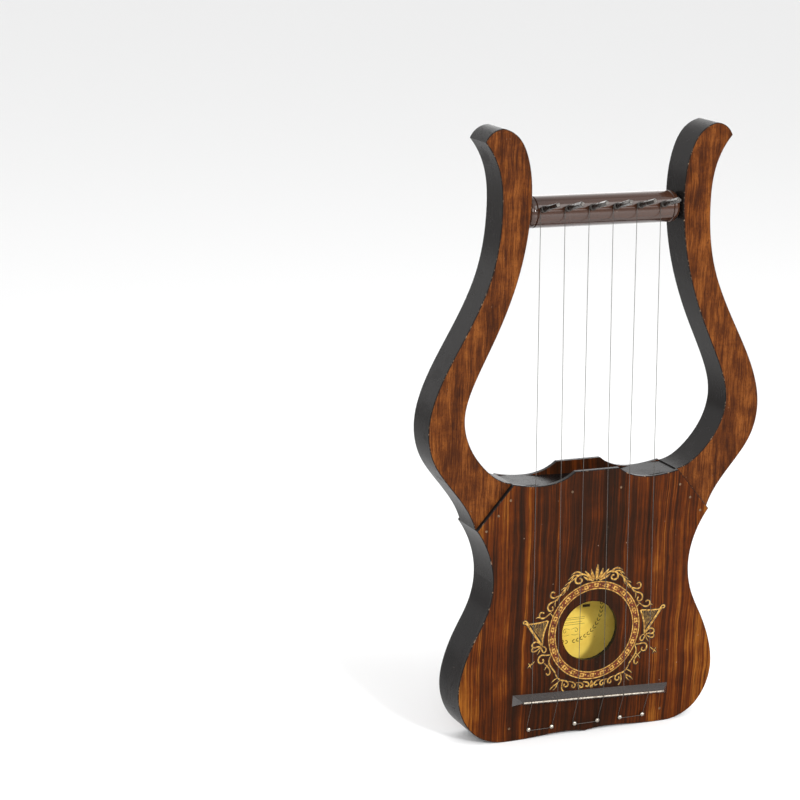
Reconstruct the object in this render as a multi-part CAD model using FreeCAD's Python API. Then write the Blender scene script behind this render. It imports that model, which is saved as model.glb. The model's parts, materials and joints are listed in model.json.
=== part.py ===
"""Six-string lyre: two curved arms, a shallow waisted sound box, a turned crossbar with
six tuning pins, and three looped wires that each make a pair of strings.

The lyre stands on the two lobes of its sound box.  +Z is up, the soundboard faces -Y, and
+X is to the right of someone who looks at the soundboard.  The origin is at floor level, in
the middle of the box that just holds the whole instrument.
"""
import FreeCAD, Part
import math
import os

from FreeCAD import Vector

# ------------------------------------------------------------------ overall sizes (mm)
BODY_HEIGHT = 231.0       # floor to the top corners of the soundboard
ARM_RISE = 300.0          # those corners to the crowns of the arms
BODY_WIDTH = 248.0        # across the hips of the sound box
WAIST_WIDTH = 190.0
SHOULDER_WIDTH = 224.0    # between the outer ends of the two mitres
MOUTH_WIDTH = 159.0       # between the soundboard's top corners
ARM_SPAN = 316.0          # widest, across both arms
BAY_WIDTH = 250.0         # widest clear space between the arms
NECK_CLEAR = 144.0        # clear space between the arms at the crossbar
NECK_FACE = 26.3          # face of one arm at the crossbar
TIP_WIDTH = 231.6         # between the outward points of the arms
CROWN_WIDTH = 199.0       # between the highest points of the arms
FRAME_DEPTH = 31.0        # arms, ribs, rail and block, front to back
BOARD_THICKNESS = 4.2     # soundboard and back
EDGE_EASE = 0.6           # bevel on the boards' and arms' outer edges

# ------------------------------------------------------------------ places along the outline
TIP_STATION = 0.964       # the arms' points, as a share of their rise
NECK_STATION = 0.76       # the crossbar, the same
SHOULDER_STATION = 0.836  # lower ends of the mitres, as a share of the sound box's height
WAIST_STATION = 0.628     # narrowest place of the sound box, the same
SHOULDER_SLOPE = (-0.47, -0.88)   # direction of the outline where a mitre meets it

# ------------------------------------------------------------------ sound box
RIB_THICKNESS = 9.0
BLOCK_HEIGHT = 24.0       # bottom block, above the floor
RAIL_HEIGHT = 20.0        # top rail between the arms
RAIL_RECESS = 1.0         # top rail below the boards' corners
RAIL_SAG = 4.0            # its top edge dips in the middle
MITRE_LEDGE = 22.0        # arm wood under the boards, in from the mitre
LOBE_SPREAD = 144.0       # between the two lobes that the lyre stands on
SCALLOP = 2.4             # bottom edge above the lobes, each side of the middle point
BOTTOM_POINT = 0.5        # middle point of the bottom edge, above the floor
DIP_WIDTH = 112.0         # between the low points of the boards' top edge
DIP_DEPTH = 3.3           # those low points below the top corners
BUMP_WIDTH = 42.4         # raised flat in the middle of the top edge
BUMP_RISE = 6.6           # that flat above the top corners
SOUND_HOLE = 53.6
SOUND_HOLE_HEIGHT = 93.0
BRACE_HEIGHT = 8.0        # braces: size along Z and size along Y
BRACE_DEPTH = 7.0
UPPER_BRACE_STATION = 0.632    # front ones, as shares of the sound box's height
LOWER_BRACE_STATION = 0.2165
BACK_BRACE_STATION = 0.7446    # upper back one, the same
LABEL_WIDTH = 100.0
LABEL_HEIGHT = 90.0
LABEL_DROP = 3.0          # its middle below the sound hole's
LABEL_THICKNESS = 0.3
LABEL_CLEARANCE = 3.0     # lower back brace, below the label

# ------------------------------------------------------------------ crossbar and pins
CROSSBAR_DIAMETER = 27.0
CROSSBAR_SHOULDER = 6.0   # rounding of the bar's ends, where they meet the arms
TENON_DIAMETER = 14.0
TENON_LENGTH = 12.0
GROOVE_FROM_ARM = 7.5     # turned groove near each end
GROOVE_WIDTH = 1.4
GROOVE_DEPTH = 0.9
GLUE_GAP = 0.05           # round a tenon, pin or nail that is glued or driven in
STRING_COUNT = 6
STRING_PITCH = 22.6       # along the crossbar
PIN_ROW_SHIFT = -3.7      # middle of the row of pins, to the right of the lyre's middle
PIN_TILT = 17.0           # degrees above level
PIN_DIAMETER = 4.6
PIN_GRIP = 18.0           # in the crossbar
PIN_SHANK = 16.0          # round part in front of the crossbar
PIN_HEAD = 12.0           # squared part for the tuning key
PIN_SQUARE = 4.0          # across the flats at the shank
PIN_SQUARE_END = 3.5
PIN_HEAD_TURNS = (12.0, 55.0, 30.0, 70.0, 20.0, 48.0)   # degrees, as the last tuning left them
PIN_END_EASE = 0.5
PIN_EYE = 1.2             # hole that takes the end of the wire
PIN_CLEARANCE = 0.05      # radial, in its bore

# ------------------------------------------------------------------ strings
WIRE_DIAMETER = 0.5
WIRE_STANDOFF = 1.5       # string above the crossbar, measured along the pin
WIRE_PIN_GAP = 0.1        # between a string and its pin
COIL_TURNS = 5
COIL_GAP = 0.15           # between a string and the coil beside it
HITCH_PITCH = 22.4
HITCH_HEIGHT = 9.5
HITCH_POST = 2.0
HITCH_HEAD = 4.0
HITCH_DOME = 1.3
HITCH_STAND = 1.7         # underside of the head above the soundboard
HITCH_GRIP = 13.0         # below the soundboard's face
SEAT_GAP = 0.03           # between a wire and the rod or post it bears on
WIRE_BEND = 4.0           # where a string turns parallel to the board
BEND_HEIGHT = 3.5         # that turn above the hitch pins

# ------------------------------------------------------------------ bridge
BRIDGE_LENGTH = 152.5     # at the soundboard
BRIDGE_RIDGE = 138.0      # along its ridge, so the ends slope
BRIDGE_BASE = 10.0
BRIDGE_STAND = 7.4        # ridge above the soundboard
BRIDGE_HEIGHT = 34.0      # middle of the bridge, above the floor
BRIDGE_SHIFT = 4.0        # middle of the bridge, to the right of the lyre's middle
BRIDGE_SLANT = 2.4        # degrees, lower on the right
SADDLE_DIAMETER = 1.8

# ------------------------------------------------------------------ brads
BRAD_SHANK = 1.3
BRAD_HEAD = 2.2
BRAD_HEAD_DEPTH = 0.4
BRAD_PROUD = 0.1
BRAD_LENGTH = 14.0
BRAD_INSET = 7.0          # in from the boards' edges
BRADS_PER_MITRE = 3

# ------------------------------------------------------------------ worked out from the above
TILT = math.radians(PIN_TILT)
BAR_RADIUS = CROSSBAR_DIAMETER / 2
PIN_REACH = BAR_RADIUS + PIN_SHANK + PIN_HEAD
HEAD_REACH = max(math.sin(math.radians(turn)) + math.cos(math.radians(turn)) for turn in PIN_HEAD_TURNS)
FRONT_REACH = PIN_REACH * math.cos(TILT) + HEAD_REACH * (PIN_SQUARE_END / 2 - PIN_END_EASE) * math.sin(TILT)
BAR_Y = (FRONT_REACH - FRAME_DEPTH / 2 - BOARD_THICKNESS - BRAD_PROUD) / 2
ARM_FRONT = BAR_Y - FRAME_DEPTH / 2
ARM_BACK = BAR_Y + FRAME_DEPTH / 2
BOARD_FRONT = ARM_FRONT - BOARD_THICKNESS
BOARD_BACK = ARM_BACK + BOARD_THICKNESS
BAR_Z = BODY_HEIGHT + NECK_STATION * ARM_RISE
WAIST_Z = WAIST_STATION * BODY_HEIGHT
WIRE_RADIUS = WIRE_DIAMETER / 2
BIG = 2 * (BODY_HEIGHT + ARM_RISE + ARM_SPAN)


# ------------------------------------------------------------------ drawing helpers
def mix(start, end, share):
    """The value a given share of the way from start to end."""
    return start + share * (end - start)


def body_z(share):
    """Height at a share of the sound box's height."""
    return share * BODY_HEIGHT


def arm_z(share):
    """Height at a share of the arms' rise above the sound box."""
    return BODY_HEIGHT + share * ARM_RISE


def flat(point, side=1):
    """A point of a front-view outline, on the right (side 1) or the left (side -1)."""
    return Vector(side * point[0], 0, point[1])


def spline(points, side=1, first=None, last=None):
    """Smooth edge through outline points, with its end directions where they are given."""
    curve = Part.BSplineCurve()
    options = {}
    if first:
        options["InitialTangent"] = flat(first, side)
    if last:
        options["FinalTangent"] = flat(last, side)
    curve.interpolate(Points=[flat(point, side) for point in points], **options)
    return curve.toShape()


def line(start, end):
    return Part.LineSegment(start, end).toShape()


def face_of(edges):
    """Flat face inside a closed run of edges."""
    return Part.Face(Part.Wire(Part.__sortEdges__(edges)))


def prism(face, y_from, y_to):
    """Front-view face made solid between two depths."""
    placed = face.copy()
    placed.translate(Vector(0, y_from, 0))
    return placed.extrude(Vector(0, y_to - y_from, 0))


def box(x_range, y_range, z_range):
    """Rectangular solid between pairs of limits."""
    size = [high - low for low, high in (x_range, y_range, z_range)]
    corner = Vector(x_range[0], y_range[0], z_range[0])
    return Part.makeBox(*size, corner)


def one_solid(shape):
    """The single solid of a cut or a joint, tidied."""
    return shape.removeSplitter().Solids[0]


def rod(start, end, radius):
    """Round bar between two points."""
    run = end - start
    return Part.makeCylinder(radius, run.Length, start, run)


# ------------------------------------------------------------------ outlines (front view)
def outer_arm_edge(side):
    """Outside of one arm, from its point down to the mitre."""
    neck = NECK_CLEAR / 2 + NECK_FACE
    tip, span, shoulder = TIP_WIDTH / 2, ARM_SPAN / 2, SHOULDER_WIDTH / 2
    points = [
        (tip, arm_z(TIP_STATION)),
        (mix(neck, tip, 0.17), arm_z(0.872)),
        (neck, arm_z(NECK_STATION)),
        (mix(neck, span, 0.126), arm_z(0.589)),
        (mix(neck, span, 0.518), arm_z(0.419)),
        (mix(neck, span, 0.82), arm_z(0.305)),
        (span, arm_z(0.163)),
        (mix(shoulder, span, 0.875), arm_z(0.079)),
        (mix(shoulder, span, 0.615), arm_z(0.019)),
        (shoulder, body_z(SHOULDER_STATION)),
    ]
    return spline(points, side, last=SHOULDER_SLOPE)


def body_edge(side):
    """One side of the sound box, from the mitre down and round to the middle of the bottom."""
    shoulder, waist, hip, lobe = SHOULDER_WIDTH / 2, WAIST_WIDTH / 2, BODY_WIDTH / 2, LOBE_SPREAD / 2
    points = [
        (shoulder, body_z(SHOULDER_STATION)),
        (mix(waist, shoulder, 0.265), body_z(0.734)),
        (waist, body_z(WAIST_STATION)),
        (mix(waist, hip, 0.156), body_z(0.513)),
        (mix(waist, hip, 0.58), body_z(0.403)),
        (mix(waist, hip, 0.91), body_z(0.293)),
        (hip, body_z(0.225)),
        (mix(lobe, hip, 0.93), body_z(0.127)),
        (mix(lobe, hip, 0.62), body_z(0.035)),
        (mix(lobe, hip, 0.25), body_z(0.003)),
        (lobe, 0),
        (mix(0, lobe, 0.8), mix(0, SCALLOP, 0.15)),
        (mix(0, lobe, 0.62), mix(0, SCALLOP, 0.5)),
        (mix(0, lobe, 0.32), SCALLOP),
        (0, BOTTOM_POINT),
    ]
    return spline(points, side, first=SHOULDER_SLOPE)


def inner_edges(side):
    """Crown and inside of one arm, from its point to the soundboard's top corner."""
    tip, crown = TIP_WIDTH / 2, CROWN_WIDTH / 2
    neck, bay, mouth = NECK_CLEAR / 2, BAY_WIDTH / 2, MOUTH_WIDTH / 2
    across = tip - crown
    drop = arm_z(1) - arm_z(TIP_STATION)
    radius = (across ** 2 + drop ** 2) / (2 * drop)
    half_turn = math.asin(across / radius) / 2
    middle = (crown + radius * math.sin(half_turn), arm_z(1) - radius * (1 - math.cos(half_turn)))
    crown_arc = Part.Arc(flat((tip, arm_z(TIP_STATION)), side), flat(middle, side),
                         flat((crown, arm_z(1)), side))
    points = [
        (crown, arm_z(1)),
        (mix(neck, crown, 0.42), arm_z(0.968)),
        (mix(neck, crown, 0.14), arm_z(0.915)),
        (neck, arm_z(NECK_STATION)),
        (mix(neck, bay, 0.085), arm_z(0.645)),
        (mix(neck, bay, 0.26), arm_z(0.532)),
        (mix(neck, bay, 0.521), arm_z(0.419)),
        (mix(neck, bay, 0.83), arm_z(0.305)),
        (bay, arm_z(0.19)),
        (mix(mouth, bay, 0.79), arm_z(0.093)),
        (mix(mouth, bay, 0.543), arm_z(0.047)),
        (mix(mouth, bay, 0.279), arm_z(0.015)),
        (mouth, arm_z(0)),
    ]
    return [crown_arc.toShape(), spline(points, side, first=(-1, 0))]


def frame_outline():
    """Front view of both arms and the sound box, with the open space between the arms."""
    corner = (MOUTH_WIDTH / 2, BODY_HEIGHT)
    edges = [line(flat(corner), flat(corner, -1))]
    for side in (1, -1):
        edges += [outer_arm_edge(side), body_edge(side)] + inner_edges(side)
    return face_of(edges)


def board_outline():
    """Front view of the soundboard and of the back."""
    half_bump, half_dip = BUMP_WIDTH / 2, DIP_WIDTH / 2
    corner = (MOUTH_WIDTH / 2, BODY_HEIGHT)
    shoulder = (SHOULDER_WIDTH / 2, body_z(SHOULDER_STATION))
    bump = (half_bump, BODY_HEIGHT + BUMP_RISE)
    ogee = [
        corner,
        (half_dip, BODY_HEIGHT - DIP_DEPTH),
        (mix(half_bump, half_dip, 0.38), BODY_HEIGHT - 0.2 * DIP_DEPTH),
        bump,
    ]
    edges = [line(flat(bump), flat(bump, -1))]
    for side in (1, -1):
        edges += [spline(ogee, side), line(flat(corner, side), flat(shoulder, side)), body_edge(side)]
    return face_of(edges)


def mitre():
    """Top corner of the right-hand mitre, unit vectors along it and square into the box, length."""
    corner = Vector(MOUTH_WIDTH / 2, 0, BODY_HEIGHT)
    along = Vector(SHOULDER_WIDTH / 2, 0, body_z(SHOULDER_STATION)) - corner
    length = along.Length
    along.normalize()
    return corner, along, Vector(along.z, 0, -along.x), length


def make_cavity(board):
    """Hollow of the sound box, a little longer than the frame is deep."""
    depths = (ARM_FRONT - BOARD_THICKNESS, ARM_BACK + BOARD_THICKNESS)
    wall_line = board.OuterWire.makeOffset2D(-RIB_THICKNESS).toNurbs()
    inside = prism(Part.Face(wall_line), *depths)
    corner, along, inward, _ = mitre()
    start = corner + inward * MITRE_LEDGE
    reach = start + along * BIG
    path = [start, reach, Vector(reach.x, 0, -BIG), Vector(-reach.x, 0, -BIG), Vector(-reach.x, 0, reach.z),
            Vector(-start.x, 0, start.z), start]
    feet = prism(Part.Face(Part.makePolygon(path)), *depths)
    top = BODY_HEIGHT - RAIL_RECESS - RAIL_HEIGHT
    band = box((-BIG, BIG), depths, (BLOCK_HEIGHT, top))
    return inside.common(feet).common(band).Solids[0]


# ------------------------------------------------------------------ frame of arms, ribs, rail and block
def make_arm(blank, side):
    """One arm, down to the waist, with the mortise and the flat seat for the crossbar."""
    half = blank.common(box(sorted((0, side * BIG)), (-BIG, BIG), (WAIST_Z, BIG)))
    mouth = box(sorted((0, side * MOUTH_WIDTH / 2)), (-BIG, BIG), (0, BODY_HEIGHT))
    arm = half.cut(mouth).Solids[0]
    middle = BODY_HEIGHT + ARM_RISE / 2
    arm = ease(arm, lambda edge: edge.BoundBox.ZMax > middle and edge.BoundBox.YLength < 1)
    start = Vector(0, BAR_Y, BAR_Z)
    seat = rod(start, Vector(side * NECK_CLEAR / 2, BAR_Y, BAR_Z), BAR_RADIUS)
    end = NECK_CLEAR / 2 + TENON_LENGTH + 1
    mortise = rod(start, Vector(side * end, BAR_Y, BAR_Z), TENON_DIAMETER / 2 + GLUE_GAP)
    return arm.cut([seat, mortise]).Solids[0]


def make_rib(blank, side):
    """One side of the sound box, from the bottom block to the waist."""
    inner, outer = sorted((0, side * BIG))
    return blank.common(box((inner, outer), (-BIG, BIG), (BLOCK_HEIGHT, WAIST_Z))).Solids[0]


def make_top_rail():
    """Rail between the arms, set just below the boards' top edges."""
    half = MOUTH_WIDTH / 2
    top = BODY_HEIGHT - RAIL_RECESS
    bottom = top - RAIL_HEIGHT
    arc = Part.Arc(Vector(-half, 0, top), Vector(0, 0, top - RAIL_SAG), Vector(half, 0, top))
    corners = [Vector(half, 0, top), Vector(half, 0, bottom), Vector(-half, 0, bottom), Vector(-half, 0, top)]
    edges = [arc.toShape()] + [line(first, second) for first, second in zip(corners, corners[1:])]
    return prism(face_of(edges), ARM_FRONT, ARM_BACK)


def make_bottom_block(outline):
    """Block across the bottom of the sound box, bored for the hitch pins."""
    block = prism(outline, ARM_FRONT, ARM_BACK)
    return block.common(box((-BIG, BIG), (-BIG, BIG), (-1, BLOCK_HEIGHT))).Solids[0]


def make_braces(cavity):
    """Bars glued across the inside of the soundboard and of the back."""
    label_bottom = SOUND_HOLE_HEIGHT - LABEL_DROP - LABEL_HEIGHT / 2
    front = (ARM_FRONT, ARM_FRONT + BRACE_DEPTH)
    back = (ARM_BACK - BRACE_DEPTH, ARM_BACK)
    places = {
        "front_brace_upper": (front, body_z(UPPER_BRACE_STATION)),
        "front_brace_lower": (front, body_z(LOWER_BRACE_STATION)),
        "back_brace_upper": (back, body_z(BACK_BRACE_STATION)),
        "back_brace_lower": (back, label_bottom - LABEL_CLEARANCE - BRACE_HEIGHT / 2),
    }
    braces = {}
    for name, (depths, middle) in places.items():
        slab = box((-BIG, BIG), depths, (middle - BRACE_HEIGHT / 2, middle + BRACE_HEIGHT / 2))
        braces[name] = cavity.common(slab).Solids[0]
    return braces


def ease(solid, keep):
    """Take a small bevel off the edges of a solid that a test picks out."""
    return solid.makeChamfer(EDGE_EASE, [edge for edge in solid.Edges if keep(edge)])


# ------------------------------------------------------------------ crossbar and tuning pins
def string_x(index, pitch, shift=0.0):
    """Place of a string, pin or hitch pin, counted from the left."""
    return (index - (STRING_COUNT - 1) / 2) * pitch + shift


def pin_point(index, along, across=0.0):
    """Point at a distance along a pin from the crossbar's axis, and across it to the right."""
    x = string_x(index, STRING_PITCH, PIN_ROW_SHIFT) + across
    return Vector(x, BAR_Y - along * math.cos(TILT), BAR_Z + along * math.sin(TILT))


def on_pin(shape, index):
    """A shape modelled round +Z, from the crossbar's axis out, moved on to its pin."""
    placed = shape.copy()
    placed.rotate(Vector(0, 0, 0), Vector(1, 0, 0), 90 - PIN_TILT)
    placed.translate(pin_point(index, 0))
    return placed


def make_crossbar():
    """Turned bar with rounded ends, a groove near each end, tenons and six blind bores."""
    half = NECK_CLEAR / 2
    groove = half - GROOVE_FROM_ARM
    shoulder = BAR_RADIUS - CROSSBAR_SHOULDER
    bend = CROSSBAR_SHOULDER * math.sqrt(0.5)
    edges = []
    for side in (1, -1):
        profile = [
            (0, BAR_RADIUS),
            (groove - GROOVE_WIDTH / 2, BAR_RADIUS),
            (groove, BAR_RADIUS - GROOVE_DEPTH),
            (groove + GROOVE_WIDTH / 2, BAR_RADIUS),
            (half - CROSSBAR_SHOULDER, BAR_RADIUS),
        ]
        ending = [(half, shoulder), (half, TENON_DIAMETER / 2), (half + TENON_LENGTH, TENON_DIAMETER / 2),
                  (half + TENON_LENGTH, 0), (0, 0)]
        for run in (profile, ending):
            spots = [flat(point, side) for point in run]
            edges += [line(first, second) for first, second in zip(spots, spots[1:])]
        middle = (half - CROSSBAR_SHOULDER + bend, shoulder + bend)
        edges.append(Part.Arc(flat(profile[-1], side), flat(middle, side), flat(ending[0], side)).toShape())
    edges = [edge for edge in edges if edge.CenterOfMass.z > 0]
    tenon_end = (half + TENON_LENGTH, 0)
    edges.append(line(flat(tenon_end), flat(tenon_end, -1)))
    bar = face_of(edges).revolve(Vector(0, 0, 0), Vector(1, 0, 0), 360)
    bar.translate(Vector(0, BAR_Y, BAR_Z))
    for index in range(STRING_COUNT):
        bottom = pin_point(index, BAR_RADIUS - PIN_GRIP - 1)
        bore = rod(bottom, pin_point(index, BAR_RADIUS + 1), PIN_DIAMETER / 2 + PIN_CLEARANCE)
        bar = bar.cut(bore)
    return bar.Solids[0]


def square(width, height):
    """Square outline across the pin's axis."""
    half = width / 2
    corners = [Vector(x, y, height) for x, y in ((half, half), (-half, half), (-half, -half), (half, -half))]
    return Part.makePolygon(corners + corners[:1])


def make_tuning_pin(index):
    """Steel pin: round shank, tapered square head, and an eye for the end of the wire."""
    shank_end = BAR_RADIUS + PIN_SHANK
    shank = Part.makeCylinder(PIN_DIAMETER / 2, shank_end - BAR_RADIUS + PIN_GRIP,
                              Vector(0, 0, BAR_RADIUS - PIN_GRIP))
    shank = shank.makeChamfer(PIN_END_EASE, [shank.Edges[0], shank.Edges[2]])
    taper = Part.makeLoft([square(PIN_SQUARE, shank_end - 2 * PIN_END_EASE),
                           square(PIN_SQUARE_END, PIN_REACH - PIN_END_EASE)], True, True)
    cap = Part.makeLoft([square(PIN_SQUARE_END, PIN_REACH - PIN_END_EASE),
                         square(PIN_SQUARE_END - 2 * PIN_END_EASE, PIN_REACH)], True, True)
    sleeve = Part.makeCylinder(PIN_DIAMETER / 2, PIN_REACH)
    head = taper.fuse(cap).common(sleeve)
    head.rotate(Vector(0, 0, 0), Vector(0, 0, 1), PIN_HEAD_TURNS[index])
    eye_z = BAR_RADIUS + WIRE_STANDOFF + (COIL_TURNS + 2) * WIRE_DIAMETER + PIN_EYE
    eye = rod(Vector(-PIN_DIAMETER, 0, eye_z), Vector(PIN_DIAMETER, 0, eye_z), PIN_EYE / 2)
    return on_pin(one_solid(shank.fuse(head).cut(eye)), index)


def make_coil(index):
    """Close turns of wire round the pin, next to where the string leaves it."""
    inner = PIN_DIAMETER / 2
    start = BAR_RADIUS + WIRE_STANDOFF + WIRE_RADIUS + COIL_GAP
    edges = []
    for turn in range(COIL_TURNS):
        low = start + turn * WIRE_DIAMETER
        crest = Vector(inner + WIRE_DIAMETER, 0, low + WIRE_RADIUS)
        low_edge = Vector(inner + WIRE_RADIUS, 0, low)
        high_edge = Vector(inner + WIRE_RADIUS, 0, low + WIRE_DIAMETER)
        edges.append(Part.Arc(low_edge, crest, high_edge).toShape())
    end = start + COIL_TURNS * WIRE_DIAMETER
    corners = [Vector(inner + WIRE_RADIUS, 0, end), Vector(inner, 0, end), Vector(inner, 0, start),
               Vector(inner + WIRE_RADIUS, 0, start)]
    edges += [line(first, second) for first, second in zip(corners, corners[1:])]
    coil = face_of(edges).revolve(Vector(0, 0, 0), Vector(0, 0, 1), 360)
    return on_pin(coil.Solids[0], index)


# ------------------------------------------------------------------ bridge
def slant(shape):
    """Turn the bridge or its rod slightly, lower on the right, and move it along."""
    placed = shape.copy()
    placed.rotate(Vector(0, BOARD_FRONT, BRIDGE_HEIGHT), Vector(0, 1, 0), BRIDGE_SLANT)
    placed.translate(Vector(BRIDGE_SHIFT, 0, 0))
    return placed


def saddle_point(x):
    """Centre of the saddle rod at a distance from the lyre's middle."""
    drop = (x - BRIDGE_SHIFT) * math.tan(math.radians(BRIDGE_SLANT))
    return Vector(x, BOARD_FRONT - BRIDGE_STAND, BRIDGE_HEIGHT - drop)


def make_saddle_rod():
    """Metal rod let into the bridge's ridge."""
    half = BRIDGE_RIDGE / 2
    y = BOARD_FRONT - BRIDGE_STAND
    ends = [Vector(side * half, y, BRIDGE_HEIGHT) for side in (-1, 1)]
    return slant(rod(ends[0], ends[1], SADDLE_DIAMETER / 2))


def make_bridge():
    """Triangular bar with sloping ends, and a round channel along its ridge for the rod."""
    half_base, half_ridge = BRIDGE_LENGTH / 2, BRIDGE_RIDGE / 2
    low, high = BRIDGE_HEIGHT - BRIDGE_BASE / 2, BRIDGE_HEIGHT + BRIDGE_BASE / 2
    ridge_y = BOARD_FRONT - BRIDGE_STAND
    triangle = Part.makePolygon([
        Vector(-half_base, BOARD_FRONT, low), Vector(-half_base, ridge_y, BRIDGE_HEIGHT),
        Vector(-half_base, BOARD_FRONT, high), Vector(-half_base, BOARD_FRONT, low)])
    bar = Part.Face(triangle).extrude(Vector(BRIDGE_LENGTH, 0, 0))
    for side in (-1, 1):
        corners = [(half_base, BOARD_FRONT), (half_ridge, ridge_y), (half_base, ridge_y - 1),
                   (half_base + 1, BOARD_FRONT), (half_base, BOARD_FRONT)]
        wedge = Part.makePolygon([Vector(side * x, y, low - 1) for x, y in corners])
        bar = bar.cut(Part.Face(wedge).extrude(Vector(0, 0, BRIDGE_BASE + 2)))
    channel = rod(Vector(-half_base, ridge_y, BRIDGE_HEIGHT), Vector(half_base, ridge_y, BRIDGE_HEIGHT),
                  SADDLE_DIAMETER / 2 + SEAT_GAP / 2)
    return slant(bar.cut(channel).Solids[0])


# ------------------------------------------------------------------ hitch pins and brads
def make_hitch_pin(index):
    """Round-headed pin that holds one end of a string pair's wire."""
    x = string_x(index, HITCH_PITCH)
    under = BOARD_FRONT - HITCH_STAND
    inner_end = Vector(x, BOARD_FRONT + HITCH_GRIP, HITCH_HEIGHT)
    post = rod(inner_end, Vector(x, under, HITCH_HEIGHT), HITCH_POST / 2)
    radius = (HITCH_HEAD ** 2 / 4 + HITCH_DOME ** 2) / (2 * HITCH_DOME)
    ball = Part.makeSphere(radius, Vector(x, under - HITCH_DOME + radius, HITCH_HEIGHT))
    front = box((x - HITCH_HEAD, x + HITCH_HEAD), (under - HITCH_DOME - 1, under),
                (HITCH_HEIGHT - HITCH_HEAD, HITCH_HEIGHT + HITCH_HEAD))
    return one_solid(post.fuse(ball.common(front)))


def hitch_bore(index):
    """Hole for a hitch pin, through the soundboard and into the bottom block."""
    x = string_x(index, HITCH_PITCH)
    ends = [Vector(x, y, HITCH_HEIGHT) for y in (BOARD_FRONT - 1, BOARD_FRONT + HITCH_GRIP + 1)]
    return rod(ends[0], ends[1], HITCH_POST / 2 + GLUE_GAP)


def brad_places():
    """Front-view places of the brads that hold one board to the frame."""
    corner, along, inward, length = mitre()
    places = []
    for number in range(BRADS_PER_MITRE):
        spot = corner + along * (length * (number + 0.7) / BRADS_PER_MITRE) + inward * BRAD_INSET
        places.append((spot.x, spot.z))
    rail_middle = BODY_HEIGHT - RAIL_RECESS - RAIL_HEIGHT / 2
    places.append((BUMP_WIDTH / 2 + BRAD_HEAD, rail_middle))
    places.append((HITCH_PITCH * STRING_COUNT / 2 + BRAD_INSET, BLOCK_HEIGHT / 2))
    return [(side * x, z) for side in (1, -1) for x, z in places]


def brad(place, face, outward):
    """One brad driven in from a face towards the inside; outward is -1 in front, 1 behind."""
    x, z = place
    top = face + outward * BRAD_PROUD
    neck = face - outward * (BRAD_HEAD_DEPTH - BRAD_PROUD)
    tip = face - outward * BRAD_LENGTH
    head = rod(Vector(x, neck, z), Vector(x, top, z), BRAD_HEAD / 2)
    shank = rod(Vector(x, tip, z), Vector(x, neck, z), BRAD_SHANK / 2)
    return one_solid(head.fuse(shank))


def brad_bore(place, face, outward):
    """Hole that a brad fills, with a little room round it."""
    x, z = place
    neck = face - outward * (BRAD_HEAD_DEPTH - BRAD_PROUD + GLUE_GAP)
    tip = face - outward * (BRAD_LENGTH + GLUE_GAP)
    top = face + outward
    head = rod(Vector(x, neck, z), Vector(x, top, z), BRAD_HEAD / 2 + GLUE_GAP)
    shank = rod(Vector(x, tip, z), Vector(x, neck, z), BRAD_SHANK / 2 + GLUE_GAP)
    return head.fuse(shank)


# ------------------------------------------------------------------ strings
def rounded_path(corners, radii):
    """Wire of straight runs through corner points, each inner corner turned by a tangent arc."""
    edges = []
    here = corners[0]
    for before, corner, after, radius in zip(corners, corners[1:], corners[2:], radii):
        back, ahead = before - corner, after - corner
        back.normalize()
        ahead.normalize()
        half_angle = back.getAngle(ahead) / 2
        reach = radius / math.tan(half_angle)
        towards = back + ahead
        towards.normalize()
        depth = radius / math.sin(half_angle) - radius
        start, end = corner + back * reach, corner + ahead * reach
        edges.append(line(here, start))
        edges.append(Part.Arc(start, corner + towards * depth, end).toShape())
        here = end
    edges.append(line(here, corners[-1]))
    return Part.Wire(edges)


def outside_corner(centre, radius, upper, lower):
    """Where the two lines from upper and lower that touch the front of a rod meet."""
    angles = []
    for point, turn in ((upper, 1), (lower, -1)):
        run_y, run_z = point.y - centre.y, point.z - centre.z
        distance = math.hypot(run_y, run_z)
        angles.append(math.atan2(run_z, run_y) + turn * math.acos(radius / distance))
    first, second = [angle % (2 * math.pi) for angle in angles]
    middle, half = (first + second) / 2, abs(first - second) / 2
    reach = radius / math.cos(half)
    return Vector(centre.x, centre.y + reach * math.cos(middle), centre.z + reach * math.sin(middle))


def half_string(index, outward):
    """Corner points of one string, from its tuning pin down to the turn at its hitch pin."""
    across = PIN_DIAMETER / 2 + WIRE_RADIUS + WIRE_PIN_GAP
    top = pin_point(index, BAR_RADIUS + WIRE_STANDOFF, -across)
    hitch_x = string_x(index, HITCH_PITCH) + outward * (HITCH_POST / 2 + WIRE_RADIUS + SEAT_GAP)
    wire_y = BOARD_FRONT - HITCH_STAND / 2
    bend = Vector(hitch_x, wire_y, HITCH_HEIGHT + BEND_HEIGHT)
    share = (top.z - BRIDGE_HEIGHT) / (top.z - bend.z)
    x = mix(top.x, bend.x, share)
    bearing = SADDLE_DIAMETER / 2 + WIRE_RADIUS + SEAT_GAP
    saddle = outside_corner(saddle_point(x), bearing, top, bend)
    turn = Vector(hitch_x, wire_y, HITCH_HEIGHT - HITCH_POST / 2 - WIRE_RADIUS - SEAT_GAP)
    return [top, saddle, bend, turn]


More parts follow.
